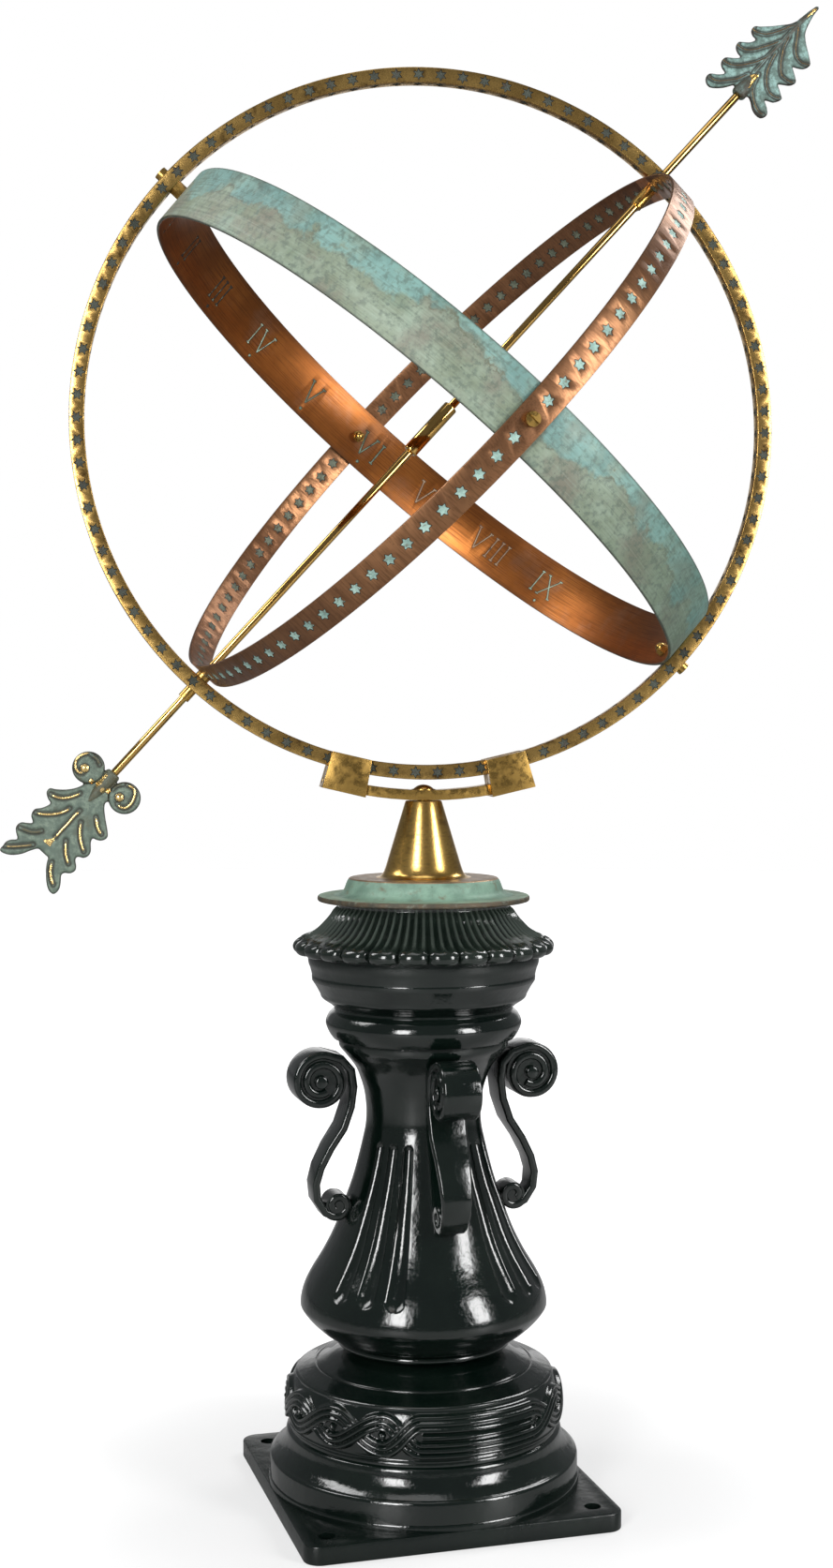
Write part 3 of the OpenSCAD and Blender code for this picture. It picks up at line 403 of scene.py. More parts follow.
def makeRedCopper():  # streaks run along the hoop, which stands in its own XZ plane
    skin = Finish("redCopper", metallic=0.9)
    place = skin.split(skin.turned(hourFrame))
    turn = skin.math("ARCTAN2", place["Z"], place["X"])
    grain = skin.streaks(
        skin.times(place["Y"], 900.0), skin.times(skin.hypotenuse(place["X"], place["Z"]), 900.0),
        skin.times(turn, 7.0))
    skin.start(skin.mottle(11, 0.4, 0.6), (0.88, 0.42, 0.19), (0.66, 0.30, 0.14))
    skin.cover(skin.mottle(40, 0.45, 0.68), (0.38, 0.16, 0.075), 0.5)
    skin.cover(skin.step(grain, 0.46, 0.64), (0.18, 0.065, 0.025), 0.45)
    # duller towards the poles, dark at the edges
    skin.cover(skin.step(skin.math("ABSOLUTE", place["Z"]), 0.11, 0.20), (0.38, 0.19, 0.11), 0.45)
    skin.cover(skin.specks(330, 0.11), (0.07, 0.035, 0.02))
    skin.cover(skin.step(skin.math("ABSOLUTE", place["Y"]), 0.0088, 0.0099), (0.06, 0.035, 0.02), 0.7)
    return skin.done(skin.range(grain, 0.27, 0.48), grain, 0.00006, 0.6)


def makeLeaf(name, pale, deep, dark, ridge, gold):
    # the leaf pieces carry two attributes: rim for painted shade in the grooves, round the knobs' feet
    # and at the edges, and for the darker socket; gilt for worn metal
    skin = Finish(name, metallic=0.15)
    skin.start(skin.mottle(150, 0.36, 0.64), pale, deep)
    skin.cover(skin.mottle(75, 0.5, 0.72), ridge, 0.5)
    skin.cover(skin.mottle(400, 0.44, 0.6), deep, 0.75)
    skin.cover(skin.specks(900, 0.15), dark)
    # painted shade from the rim attribute: grooves, knobs' feet and edges
    skin.cover(skin.attribute("rim"), dark)
    gilt = skin.plus(skin.attribute("gilt"), skin.uneven(260, 0.1))
    skin.cover(skin.step(gilt, 0.18, 0.42), ridge)
    shine = skin.step(gilt, 0.54, 0.72)
    skin.cover(shine, gold)
    skin.give("Metallic", skin.range(shine, 0.15, 1.0))
    return skin.done(skin.range(shine, 0.55, 0.24), skin.mottle(420, 0.3, 0.7), 0.0002, 0.45)


# painted sheen along the crown's pleat ridges: how many, the heights where it begins, its colour
pleatSheen = {"pleats": 78, "height": (0.381, 0.385), "colour": (0.05, 0.062, 0.053)}
finishes = {
    "enamel": makeEnamel("darkEnamel", (0.0012, 0.004, 0.003), (0.004, 0.008, 0.006), 0.025, 0.07),
    "crownEnamel": makeEnamel(
        "crownEnamel", (0.005, 0.009, 0.007), (0.012, 0.018, 0.014), 0.05, 0.16, pleatSheen),
    "brass": makeBrass(
        "warmBrass", (0.47, 0.29, 0.08), (0.435, 0.266, 0.071), (0.405, 0.246, 0.064), 0.27,
        scale=60, pits=0.04, uneven=0.15),
    "rodBrass": makeBrass(
        "rodBrass", (0.66, 0.41, 0.125), (0.54, 0.33, 0.095), (0.34, 0.2, 0.055), 0.07,
        pits=0.04, uneven=0.04),
    "coneBrass": makeBrass(
        "coneBrass", (0.74, 0.48, 0.145), (0.60, 0.37, 0.10), (0.34, 0.2, 0.06), 0.22,
        Matrix(), 900, 40, 0.05, 0.3),
    "ringBrass": makeBrass(
        "ringBrass", (0.64, 0.41, 0.13), (0.42, 0.26, 0.08), (0.13, 0.075, 0.027), 0.28,
        polarFrame, 1400, 34, 0.12),
    "steel": makeBrass("plainSteel", (0.6, 0.6, 0.6), (0.45, 0.45, 0.45), (0.3, 0.3, 0.3), 0.35),
    "verdigris": makeVerdigris(),
    "innerCopper": makeInnerCopper(),
    "copper": makeRedCopper(),
    "leaf": makeLeaf(
        "leafPatina", (0.25, 0.40, 0.37), (0.085, 0.135, 0.115), (0.018, 0.014, 0.009),
        (0.05, 0.025, 0.009), (0.86, 0.57, 0.20)),
    "tailPatina": makeLeaf(
        "tailPatina", (0.165, 0.215, 0.165), (0.085, 0.12, 0.095), (0.02, 0.018, 0.012),
        (0.10, 0.085, 0.045), (0.88, 0.63, 0.26)),
}
patinas = {  # pale, deep and brown, how fine, then where it matters the roughness and how metallic
    "starFloor": ((0.05, 0.06, 0.045), (0.03, 0.035, 0.025), (0.04, 0.03, 0.02), 120),
    "starEdge": ((0.012, 0.011, 0.008), (0.018, 0.012, 0.008), (0.01, 0.01, 0.01), 120),
    "numeralEdge": ((0.03, 0.02, 0.012), (0.04, 0.025, 0.015), (0.02, 0.015, 0.01), 120),
    "numeralFill": ((0.44, 0.55, 0.43), (0.3, 0.4, 0.3), (0.2, 0.18, 0.11), 120),
    "numeralDark": ((0.03, 0.02, 0.012), (0.05, 0.05, 0.035), (0.3, 0.36, 0.28), 160),
    "numeralGreen": ((0.16, 0.22, 0.15), (0.10, 0.14, 0.09), (0.04, 0.03, 0.02), 160),
    "numeralFaint": ((0.32, 0.19, 0.11), (0.42, 0.30, 0.19), (0.10, 0.06, 0.03), 160),
    "colureStar": ((0.36, 0.52, 0.46), (0.22, 0.35, 0.31), (0.13, 0.10, 0.06), 160),
    "colureStarInside": ((0.15, 0.17, 0.12), (0.09, 0.11, 0.08), (0.06, 0.045, 0.025), 120),
    "flangeGreen": ((0.24, 0.345, 0.25), (0.155, 0.235, 0.17), (0.16, 0.15, 0.09), 55, 0.5, 0.15),
    "flangeRim": ((0.10, 0.075, 0.045), (0.06, 0.055, 0.04), (0.15, 0.16, 0.12), 120, 0.5, 0.4),
    "stepGreen": ((0.205, 0.335, 0.255), (0.13, 0.225, 0.17), (0.16, 0.16, 0.11), 60, 0.45, 0.15),
    "stepBrown": ((0.36, 0.25, 0.15), (0.24, 0.165, 0.10), (0.13, 0.08, 0.05), 60, 0.36, 0.75),
}
finishes.update((name, makePatina(name, *look)) for name, look in patinas.items())
print("finishes made:", len(finishes))




# short ways to work on meshes

def deselectAll():
    if bpy.context.mode != "OBJECT":
        bpy.ops.object.mode_set(mode="OBJECT")
    bpy.ops.object.select_all(action="DESELECT")


def selectOnly(*items):
    deselectAll()
    for item in items:
        item.select_set(True)
    bpy.context.view_layer.objects.active = items[0]


def joined(name, items):
    selectOnly(*items)
    if len(items) > 1:
        bpy.ops.object.join()
    piece = bpy.context.active_object
    piece.name = name
    return piece


def settle(piece, matrix=None):
    if matrix is not None:
        piece.matrix_world = matrix
    selectOnly(piece)
    bpy.ops.object.transform_apply(location=True, rotation=True, scale=True)


def modify(piece, kind, **settings):
    modifier = piece.modifiers.new(kind.lower(), kind)
    for name, value in settings.items():
        setattr(modifier, name, value)
    selectOnly(piece)
    bpy.ops.object.modifier_apply(modifier=modifier.name)


def cylinder(radius, depth, at=(0, 0, 0), vertices=32):  # upright, sizes in mm
    bpy.ops.mesh.primitive_cylinder_add(
        vertices=vertices, radius=radius / 1000, depth=depth / 1000,
        location=[part / 1000 for part in at])
    return bpy.context.active_object


def removed(item):
    selectOnly(item)
    bpy.ops.object.delete()


def cleaned(piece, distance=1e-5):
    selectOnly(piece)
    bpy.ops.object.mode_set(mode="EDIT")
    bpy.ops.mesh.select_all(action="SELECT")
    bpy.ops.mesh.remove_doubles(threshold=distance)
    bpy.ops.mesh.normals_make_consistent(inside=False)
    bpy.ops.object.mode_set(mode="OBJECT")


def smoothLine(points, steps):  # an even curve through every point
    line = []
    last = len(points) - 1
    for i in range(last):
        before, start = points[max(i - 1, 0)], points[i]
        end, after = points[i + 1], points[min(i + 2, last)]
        for k in range(steps):
            t = k / steps
            line.append(tuple(
                0.5 * (2 * b + (c - a) * t + (2 * a - 5 * b + 4 * c - d) * t * t
                       + (3 * b - a - 3 * c + d) * t ** 3)
                for a, b, c, d in zip(before, start, end, after)))
    line.append(tuple(points[last]))
    return line


def evenRows(line, gap):  # the same line with points at most a gap apart
    rows = []
    for start, end in zip(line, line[1:]):
        count = max(1, math.ceil(math.dist(start, end) / gap))
        rows += [tuple(a + (b - a) * k / count for a, b in zip(start, end)) for k in range(count)]
    return rows + [line[-1]]


turnSteps = 192                         # of a plain turned part


def spunOutline(name, outline, steps=turnSteps):  # closed outline of (radius, height) in mm
    bpy.ops.mesh.primitive_circle_add(vertices=len(outline), radius=0.1)
    piece = bpy.context.active_object
    piece.name = name
    for vertex, (radius, height) in zip(piece.data.vertices, outline):
        vertex.co = (radius / 1000, 0, height / 1000)
    bpy.ops.object.mode_set(mode="EDIT")
    bpy.ops.mesh.select_all(action="SELECT")
    bpy.ops.mesh.spin(steps=steps, angle=2 * math.pi, center=(0, 0, 0), axis=(0, 0, 1))
    bpy.ops.object.mode_set(mode="OBJECT")
    cleaned(piece)
    return piece


def finished(piece, body, nodes, finish=None, smooth=32):
    if finish:
        piece.data.materials.clear()
        piece.data.materials.append(finishes[finish])
    selectOnly(piece)
    bpy.ops.object.shade_smooth_by_angle(angle=math.radians(smooth))
    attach(piece, body)
    if nodes:
        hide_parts(*nodes)
    return piece


def cut(piece, cutter, crossing=False):  # crossing: the cutter's own parts run into each other
    modify(piece, "BOOLEAN", operation="DIFFERENCE", solver="EXACT", use_self=crossing, object=cutter,
           material_mode="TRANSFER")
    removed(cutter)


def copied(item, matrix):
    twin = item.copy()
    twin.data = item.data.copy()
    bpy.context.collection.objects.link(twin)
    twin.matrix_world = matrix @ item.matrix_world
    return twin


# base: square plate, turned foot and the guilloche frieze

base = {
    "side": 0.214, "thick": 0.012, "corner": 0.011, "edge": 0.0009,
    "hollow": 83.6, "holeReach": 90, "holeRadius": 5.5, "through": 40,
    "foot": [(105.5, 11), (106.2, 11), (106.5, 12.4), (106.5, 15.2), (106.1, 15.9), (105.5, 16),
             (105.5, 28.6), (105.1, 29.9), (104.4, 30.7), (103.3, 31)],
    "cove": [(102.8, 31.3), (98.5, 35.3), (95.3, 40.75), (94, 46.6), (92.6, 48.0)],
    "neck": [(91.6, 48.6), (91.6, 50.6), (91.2, 51.2)],
    "behindFrieze": [(84, 51.4), (84, 86.4)],
    "dome": [(85.6, 86.6), (78.4, 89.1), (74.6, 90.7), (73.8, 90.4), (73.0, 90.8), (72.2, 92.0),
             (66, 95.1), (60, 98.7), (54, 101.0), (50.3, 102.5)],
    "inside": [(6.75, 103), (6.75, 82), (44, 82), (83.6, 60.5), (83.6, 11)],
}


def makePlate():
    bpy.ops.mesh.primitive_cube_add(size=1, location=(0, 0, base["thick"] / 2))
    plate = bpy.context.active_object
    plate.scale = (base["side"], base["side"], base["thick"])
    settle(plate)
    bpy.ops.object.mode_set(mode="EDIT")
    bpy.ops.mesh.select_mode(type="EDGE")
    bpy.ops.mesh.select_all(action="DESELECT")
    bpy.ops.object.mode_set(mode="OBJECT")
    for edge in plate.data.edges:
        low, high = (plate.data.vertices[v].co for v in edge.vertices)
        edge.select = abs(low.z - high.z) > 0.001
    bpy.ops.object.mode_set(mode="EDIT")
    bpy.ops.mesh.bevel(offset=base["corner"], segments=8, affect="EDGES")
    bpy.ops.object.mode_set(mode="OBJECT")
    modify(plate, "BEVEL", width=base["edge"], segments=2, limit_method="ANGLE",
           angle_limit=math.radians(50))
    reach, through = base["holeReach"], base["through"]
    holes = [cylinder(base["holeRadius"], through, (x, y, 0), 48)
             for x in (-reach, reach) for y in (-reach, reach)]
    cutter = joined("plateHoles", holes + [cylinder(base["hollow"], through, vertices=144)])
    settle(cutter)
    cut(plate, cutter)
    return plate


frieze = {
    "radius": [(92.2, 51.4), (93.3, 54.6), (93.9, 59.5), (94, 64), (93.8, 69), (93.2, 74),
               (92.2, 78.5), (90.2, 82.6), (87.6, 85.6), (86.2, 86.5)],
    "inside": [(82.5, 86.5), (82.5, 51.4)], "skin": 84,  # nothing nearer the axis is carved
    "low": 52.2, "high": 85.2, "fade": 1.2,
    "middle": 68.3, "at": 94,           # height and radius of the middle line
    "swing": 8.6,                       # how far a strand goes from the middle line, mm
    "bundle": 5.85,                     # half of a strand's width
    "ridge": 3.85,                      # from one ridge of a strand to the next
    "ground": -1.3,                     # depth of the ground round the strands
    "top": 1.6,                         # height of a ridge
    "valley": -0.25,                    # and of the hollows between them
    "weave": 0.45,                      # how far one strand passes over the other
    "middleLine": 2.2,                  # half the width of the panel's middle line
    "eyes": (-57.0, -34.2, -11.4, 11.4, 34.2, 57.0), "eyeRadius": 2.5, "eyeHeight": 3.2,
    "step": 22.8,                       # degrees from one crossing to the next
    "panel": 2.5, "panelPace": 1.4,     # crossings end here, and the turn to the straight lines
    "steps": 1140, "gap": 0.72,
}


def friezePhase(u):  # strands cross at whole numbers; straight lines fill the panel between
    panel = frieze["panel"]
    if u > panel:
        return panel + min(1, (u - panel) * frieze["panelPace"])
    return max(u, -panel)


def friezeRelief(turn, height):  # how far the carving stands out, mm
    angle = (turn + 90) % 180 - 90      # both halves of the frieze are alike
    u = angle / frieze["step"]
    phase = friezePhase(u)
    pace = (friezePhase(u + 0.01) - friezePhase(u - 0.01)) / 0.02
    swing = frieze["swing"]
    dz = height - frieze["middle"]
    crossing = round(phase)
    near = abs(phase - crossing)
    slope = (pace * swing * math.pi * math.cos(math.pi * phase)
             / (math.radians(frieze["step"]) * frieze["at"]))
    stretch = math.sqrt(1 + slope * slope)
    top, valley, level = frieze["top"], frieze["valley"], frieze["ground"]
    nearest = min(frieze["eyes"], key=lambda eye: abs(eye - angle))
    reach = math.hypot(math.radians(angle - nearest) * frieze["at"], dz)
    level += frieze["eyeHeight"] * math.sqrt(max(0, 1 - (reach / frieze["eyeRadius"]) ** 2))
    if pace == 0:                       # one more line in the middle of the panel
        level += (top - level) * max(0, 1 - (dz / frieze["middleLine"]) ** 2)
    for over in (-1, 1):                # the strand on top comes last
        sign = over * (1 if crossing % 2 == 0 else -1)
        away = abs(dz - sign * swing * math.sin(math.pi * phase)) / stretch
        crest = 1 - (2 * ((away / frieze["ridge"] + 0.5) % 1) - 1) ** 2
        rise = over * frieze["weave"] * math.cos(math.pi * near) * pace
        strand = valley + (top - valley) * crest + rise
        cover = min(1, max(0, frieze["bundle"] - away))
        level += (strand - level) * cover * cover * (3 - 2 * cover)
    margin = min(height - frieze["low"], frieze["high"] - height)
    return 0.0 if margin < 0 else level * min(1, margin / frieze["fade"])


def makeFrieze():
    rows = evenRows(smoothLine(frieze["radius"], 4), frieze["gap"])
    ring = spunOutline("frieze", rows + frieze["inside"], frieze["steps"])
    for vertex in ring.data.vertices:
        x, y, z = vertex.co
        radius = math.hypot(x, y) * 1000
        if radius < frieze["skin"]:
            continue
        out = 1 + friezeRelief(math.degrees(math.atan2(y, x)), z * 1000) / radius
        vertex.co = (x * out, y * out, z)
    return ring


def makeBase():
    plate = makePlate()
    outline = (
        base["foot"] + smoothLine(base["cove"], 5) + base["neck"] + base["behindFrieze"]
        + smoothLine(base["dome"], 6) + base["inside"])
    foot = spunOutline("foot", outline)
    piece = joined("basePlinth", [plate, foot, makeFrieze()])
    finished(piece, "pedestal", ["base_plinth"], "enamel", 35)


# column with sunken flutes between the handles

column = {
    "lines": [
        [(50.6, 103), (50.6, 104.3)],
        [(57.4, 104.9), (59.4, 105.6), (60, 107.0), (59.4, 108.6), (57.8, 109.5)],
        [(61.0, 111.0), (67.4, 113.1), (76.7, 120.9), (83.1, 128.5), (84.4, 133.0), (82.6, 142.0),
         (78.0, 152.0), (69.0, 166.9), (61.0, 183.0), (53.6, 203.0), (48.4, 218.0), (44.3, 233.0),
         (41.2, 246.1), (39.8, 253.0), (39.2, 260.0), (39.4, 268.0), (40.6, 277.0),
         (42.9, 285.1), (46.7, 294.2), (53.4, 303.0), (57.2, 307.6), (58, 310.5), (58, 314)],
    ],
    "gap": 1.5,
    "inside": [(24, 314), (24, 103)], "skin": 30,
    "fluteLow": 152.5, "fluteHigh": 242.8,
    "fluteHalf": 5.1,                   # degrees
    "fluteDepth": 2.9, "fluteShape": 0.7,
    "shoulders": (1.05, 1.14),          # more lines of the mesh beside a flute, in its half widths
    "between": (2, 29),                 # and in the space to the next flute, narrow or wide
    "flutes": [45 + 90 * k + d for k in range(4) for d in (-15, 0, 15)],
}


def columnTurns():  # the angles of the mesh, closer together at the flutes' edges
    turns = []
    half = column["fluteHalf"]
    near, far = (half * share for share in column["shoulders"])
    across = [-far, -near] + [half * math.sin(math.pi * k / 16) for k in range(-8, 9)] + [near, far]
    flutes = column["flutes"]
    for i, middle in enumerate(flutes):
        turns += [middle + a for a in across]
        after = flutes[(i + 1) % len(flutes)] + (360 if i + 1 == len(flutes) else 0)
        start, end = middle + across[-1], after + across[0]
        count = column["between"][end - start > 20]
        turns += [start + (end - start) * (k + 1) / (count + 1) for k in range(count)]
    return turns


def denseLines(lines, gap):  # curves, and straight stretches of two points
    rows = []
    for line in lines:
        rows += evenRows(smoothLine(line, 6) if len(line) > 2 else line, gap)
    return rows


def makeColumn():
    outline = denseLines(column["lines"], column["gap"]) + column["inside"]
    turns = columnTurns()
    steps = len(turns)
    piece = spunOutline("fluteColumn", outline, steps)
    low, high = column["fluteLow"], column["fluteHigh"]
    halfTurn = math.radians(column["fluteHalf"])
    for vertex in piece.data.vertices:
        x, y, z = vertex.co
        radius = math.hypot(x, y)
        index = round(math.degrees(math.atan2(y, x)) % 360 / 360 * steps) % steps
        turn = turns[index] % 360
        depth = 0
        if radius * 1000 > column["skin"]:
            nearest = min(column["flutes"], key=lambda f: abs((turn - f + 180) % 360 - 180))
            across = math.radians((turn - nearest + 180) % 360 - 180) * radius * 1000
            past = max(low - z * 1000, z * 1000 - high, 0)
            reach = math.hypot(across, past) / (halfTurn * radius * 1000)
            if reach < 1:
                depth = column["fluteDepth"] * (1 - reach * reach) ** column["fluteShape"]
        radius -= depth / 1000
        angle = math.radians(turn)
        vertex.co = (radius * math.cos(angle), radius * math.sin(angle), z)
    finished(piece, "pedestal", ["column"], "enamel", 30)


# capital and pleated crown

capital = {
    "lines": [
        [(61.9, 314), (64.7, 318.1), (66.9, 324.4), (64.7, 330.2), (61.3, 333.1)],
        [(61.0, 333.6), (61.0, 335.0)],
        [(64.1, 337.8), (69.4, 341.3), (71.0, 344.7), (73.6, 349.4), (76.2, 353.4)],
        [(76.4, 356.0), (76.4, 357.5), (77.4, 361.6), (78.6, 365.0), (79, 368.5), (79, 372)],
    ],
    "gap": 1.2,
    "inside": [(6.75, 372), (6.75, 360), (24, 360), (24, 314)],
}


def makeCapital():
    outline = denseLines(capital["lines"], capital["gap"]) + capital["inside"]
    piece = spunOutline("capitalMouldings", outline)
    finished(piece, "pedestal", ["capital"], "enamel", 30)


crown = {
    "scallops": 26, "lobe": (2.6, 0.6),
    "pleats": 78, "pleatHeight": 1.6, "pleatMiddle": 0.46, "pleatShape": 1.2,
    "steps": 26 * 24,
    # height, radius in a notch, how far a scallop stands out and is raised, and the pleats' share
    "rows": [
        (372, 79.5, 0.2, 0, 0), (372.8, 80.9, 2.4, -1.5, 0), (373.9, 82.2, 4.4, -2.0, 0),
        (375.3, 83.0, 5.7, -1.4, 0), (376.9, 83.2, 6.1, -0.4, 0), (378.4, 82.8, 5.7, 0.6, 0),
        (379.6, 81.8, 5.0, 1.0, 0.1), (380.3, 80.4, 4.0, 1.2, 0.5), (381.2, 78.9, 2.4, 1.1, 0.9),
        (382.9, 76.9, 0.9, 0.5, 1.2), (386.5, 72.0, 0, 0, 1.35), (390.5, 67.8, 0, 0, 1.35),
        (395.5, 63.5, 0, 0, 1.25), (399.7, 61.1, 0, 0, 1.0), (402.2, 59.3, 0, 0, 0.5),
        (403.4, 58.5, 0, 0, 0.1), (404.2, 58.3, 0, 0, 0), (405.2, 58.6, 0, 0, 0),
        (407, 58.6, 0, 0, 0)],
    "inside": [(6.75, 407), (6.75, 372)], "skin": 40,
}


def makeCrown():
    rows = smoothLine(crown["rows"], 3)
    outline = [(row[1], row[0]) for row in rows]
    piece = spunOutline("pleatedCrown", outline + crown["inside"], crown["steps"])
    for vertex in piece.data.vertices:
        x, y, z = vertex.co
        radius = math.hypot(x, y) * 1000
        if radius < crown["skin"]:
            continue
        row = min(rows, key=lambda r: abs(r[0] - z * 1000) + abs(r[1] - radius))
        turn = math.atan2(y, x)
        across = (turn * crown["scallops"] / (2 * math.pi) + 0.5) % 1 * 2 - 1
        full, blunt = crown["lobe"]
        lobe = max(0, 1 - abs(across) ** full) ** blunt
        ridge = 1 - abs(2 * ((turn * crown["pleats"] / (2 * math.pi) + 0.5) % 1) - 1)
        pleat = row[4] * (ridge ** crown["pleatShape"] - crown["pleatMiddle"]) * crown["pleatHeight"]
        out = 1 + (row[2] * lobe + pleat) / radius
        vertex.co = (x * out, y * out, z + (row[3] * lobe + pleat) / 1000)
    finished(piece, "pedestal", ["pleated_crown"], "crownEnamel", 40)


# turned parts between the crown and the cradle

turnedParts = {  # finishes may be two: the second takes over beyond a radius and a height
    "flangePlate": {
        "node": "flange_plate", "slot": "green_patina", "finishes": ["flangeGreen", "flangeRim"],
        "beyond": (71.2, 0),
        "outline": [
            (6.75, 407), (70.9, 407), (71.9, 407.3), (72.4, 408), (72.5, 409), (72.3, 410),
            (71.7, 410.7), (70.6, 411), (6.75, 411)]},
    "stepDisc": {
        "node": "step_disc", "slot": "brown_bronze", "finishes": ["stepGreen", "stepBrown"],
        "beyond": (0, 421.9),
        "outline": [
            (6.75, 411.05), (61.5, 411.05), (58.6, 411.5), (56.4, 412.4), (54.9, 413.9), (53.9, 416),
            (53.1, 418.4), (52.2, 420.6), (51.3, 422.1), (50.4, 422.8), (49.2, 423), (6.75, 423)]},
    "brassCone": {
        "node": "cone", "slot": "warm_brass", "finishes": ["coneBrass"],
        "outline": [
            (5.4, 423.05), (32.6, 423.05), (30.6, 423.5), (29.1, 424.3), (27.9, 425.6), (26.9, 427.4),
            (26.0, 429.8), (24.9, 433.4), (12.7, 474.0), (12.3, 474.9), (11.5, 475.2), (3.1, 475.2),
            (3.1, 444), (5.4, 444)]},
}
turnedGap = 6


def makeTurned(name):
    shape = turnedParts[name]
    outline = []
    for start, end in zip(shape["outline"], shape["outline"][1:] + shape["outline"][:1]):
        outline += evenRows([start, end], turnedGap)[:-1]
    piece = spunOutline(name, outline)
    for finish in shape["finishes"]:
        piece.data.materials.append(finishes[finish])
    if "beyond" in shape:
        radius, height = (part / 1000 for part in shape["beyond"])
        for face in piece.data.polygons:
            x, y, z = face.center
            face.material_index = 1 if math.hypot(x, y) > radius and z > height else 0
    finished(piece, "pedestal", [shape["node"]], None, 24)


# one scroll handle, copied to the four sides

handle = {
    # a curl ends round a flat disc, which lies a little below the strap's edge
    "small": {"centre": (62.3, 202.8), "outer": 8.6, "slope": 5.1, "from": -32, "to": -410,
              "disc": 8.2, "below": 1.8},
    "bend": [(70.7, 198.2), (76.5, 207.3), (77.5, 217.8), (74.5, 228.8), (67.9, 241.8), (58.9, 255.4),
             (53.9, 269.8), (52.1, 283.4), (53.7, 294.4), (60.5, 302.2), (70.5, 305.6)],
    "large": {"centre": (74.5, 287.4), "outer": 18.3, "slope": 10.6, "from": 100, "to": -480,
              "disc": 17.6, "below": 2.6},
    "strap": 5.2,
    "width": 26.0, "footWidth": 18.0, "widens": (190.6, 266.6),
    "corner": 1.9,
    "boss": {"radius": 4.6, "proud": 1.2, "edge": 0.0016},
}


def spiral(curl, count):  # from the outside in
    x, z = curl["centre"]
    points = []
    for i in range(count + 1):
        t = i / count
        angle = math.radians(curl["from"] + (curl["to"] - curl["from"]) * t)
        reach = curl["outer"] - curl["slope"] * t
        points.append((x + reach * math.cos(angle), z + reach * math.sin(angle)))
    return points


def handlePath():
    small, large = handle["small"], handle["large"]
    curl = spiral(small, 36)[:0:-1]
    return curl + handle["bend"][:-1] + spiral(large, 60)


def roundedProfile(name, width, height, corner):
    outline = []
    for cx, cy, start in ((1, 1, 0), (-1, 1, 90), (-1, -1, 180), (1, -1, 270)):
        for k in range(5):
            angle = math.radians(start + 22.5 * k)
            outline.append((
                cx * (width / 2 - corner) + corner * math.cos(angle),
                cy * (height / 2 - corner) + corner * math.sin(angle)))
    return flatCurve(name, outline)


def flatCurve(name, outline, closed=True):
    data = bpy.data.curves.new(name, "CURVE")
    data.dimensions = "2D"
    spline = data.splines.new("POLY")
    spline.points.add(len(outline) - 1)
    for point, (x, y) in zip(spline.points, outline):
        point.co = (x / 1000, y / 1000, 0, 1)
    spline.use_cyclic_u = closed
    item = bpy.data.objects.new(name, data)
    bpy.context.collection.objects.link(item)
    return item


def asMesh(item):
    selectOnly(item)
    bpy.ops.object.convert(target="MESH")
    return bpy.context.active_object


def makeHandles():
    profile = roundedProfile("strapSection", handle["strap"], handle["width"], handle["corner"])
    path = flatCurve("strapPath", handlePath(), closed=False)
    path.data.bevel_mode = "OBJECT"
    path.data.bevel_object = profile
    path.data.use_fill_caps = True
    strap = asMesh(path)
    removed(profile)
    cleaned(strap)
    parts = [strap]
    for curl in (handle["large"], handle["small"]):
        depth = handle["width"] - 2 * curl["below"]
        parts.append(cylinder(curl["disc"], depth, (*curl["centre"], 0), 64))
    boss = handle["boss"]
    depth = handle["width"] + 2 * boss["proud"]
    knob = cylinder(boss["radius"], depth, (*handle["large"]["centre"], 0))
    modify(knob, "BEVEL", width=boss["edge"], segments=4, limit_method="ANGLE")
    piece = joined("scrollHandle", parts + [knob])
    settle(piece)
    foot, full = handle["footWidth"], handle["width"]
    low, high = handle["widens"]
    for vertex in piece.data.vertices:
        x, z, y = vertex.co
        share = min(1, max(0, (z * 1000 - low) / (high - low)))
        smooth = share * share * (3 - 2 * share)
        width = (foot + (full - foot) * smooth) / full
        vertex.co = (x, -y * width, z)
    for angle, name in ((0, "right"), (90, "rear"), (180, "left"), (270, "front")):
        twin = copied(piece, Matrix.Rotation(math.radians(angle), 4, "Z"))
        twin.name = name + "Handle"
        settle(twin)
        finished(twin, "pedestal", ["handle_" + name], "enamel", 35)
    removed(piece)


# rings of the dial with their stars

starFlare = (0.80, 1.16)                # how wide a star's cutter is at its foot and its top


def starCutter(tip, inner, depth, floor):  # six points, sloped sides, centre on the surface
    foot, top = (tip * share / 1000 for share in starFlare)
    bpy.ops.mesh.primitive_cone_add(vertices=12, radius1=foot, radius2=top, depth=2 * depth / 1000)
    star = bpy.context.active_object
    for vertex in star.data.vertices:
        x, y, z = vertex.co
        turn = round(math.degrees(math.atan2(y, x)) / 30)
        if turn % 2:
            vertex.co = (x * inner, y * inner, z)
    star.data.materials.append(finishes["starEdge"])
    star.data.materials.append(finishes[floor])
    for face in star.data.polygons:
        face.material_index = 1 if abs(face.normal.z) > 0.9 else 0
    return star


def cutStars(piece, shape, tip, floor, lays):  # the same row of stars at each lay, all round
    star = starCutter(tip, shape["starInner"], shape["starDepth"], floor)
    count = shape["stars"]
    turns = [Matrix.Rotation(2 * math.pi * (i + 0.5) / count, 4, "Z") for i in range(count)]
    stars = [copied(star, turn @ lay) for lay in lays for turn in turns]
    removed(star)
    cutter = joined("stars", stars)
    settle(cutter)
    cut(piece, cutter)


def cutBores(piece, finish, bores):  # each bore is a radius and the matrix that lays it
    cutters = []
    for radius, lay in bores:
        bore = cylinder(radius, boreSize["length"])
        bore.matrix_world = lay
        bore.data.materials.append(finishes[finish])
        cutters.append(bore)
    cutter = joined("bores", cutters)
    settle(cutter)
    cut(piece, cutter)


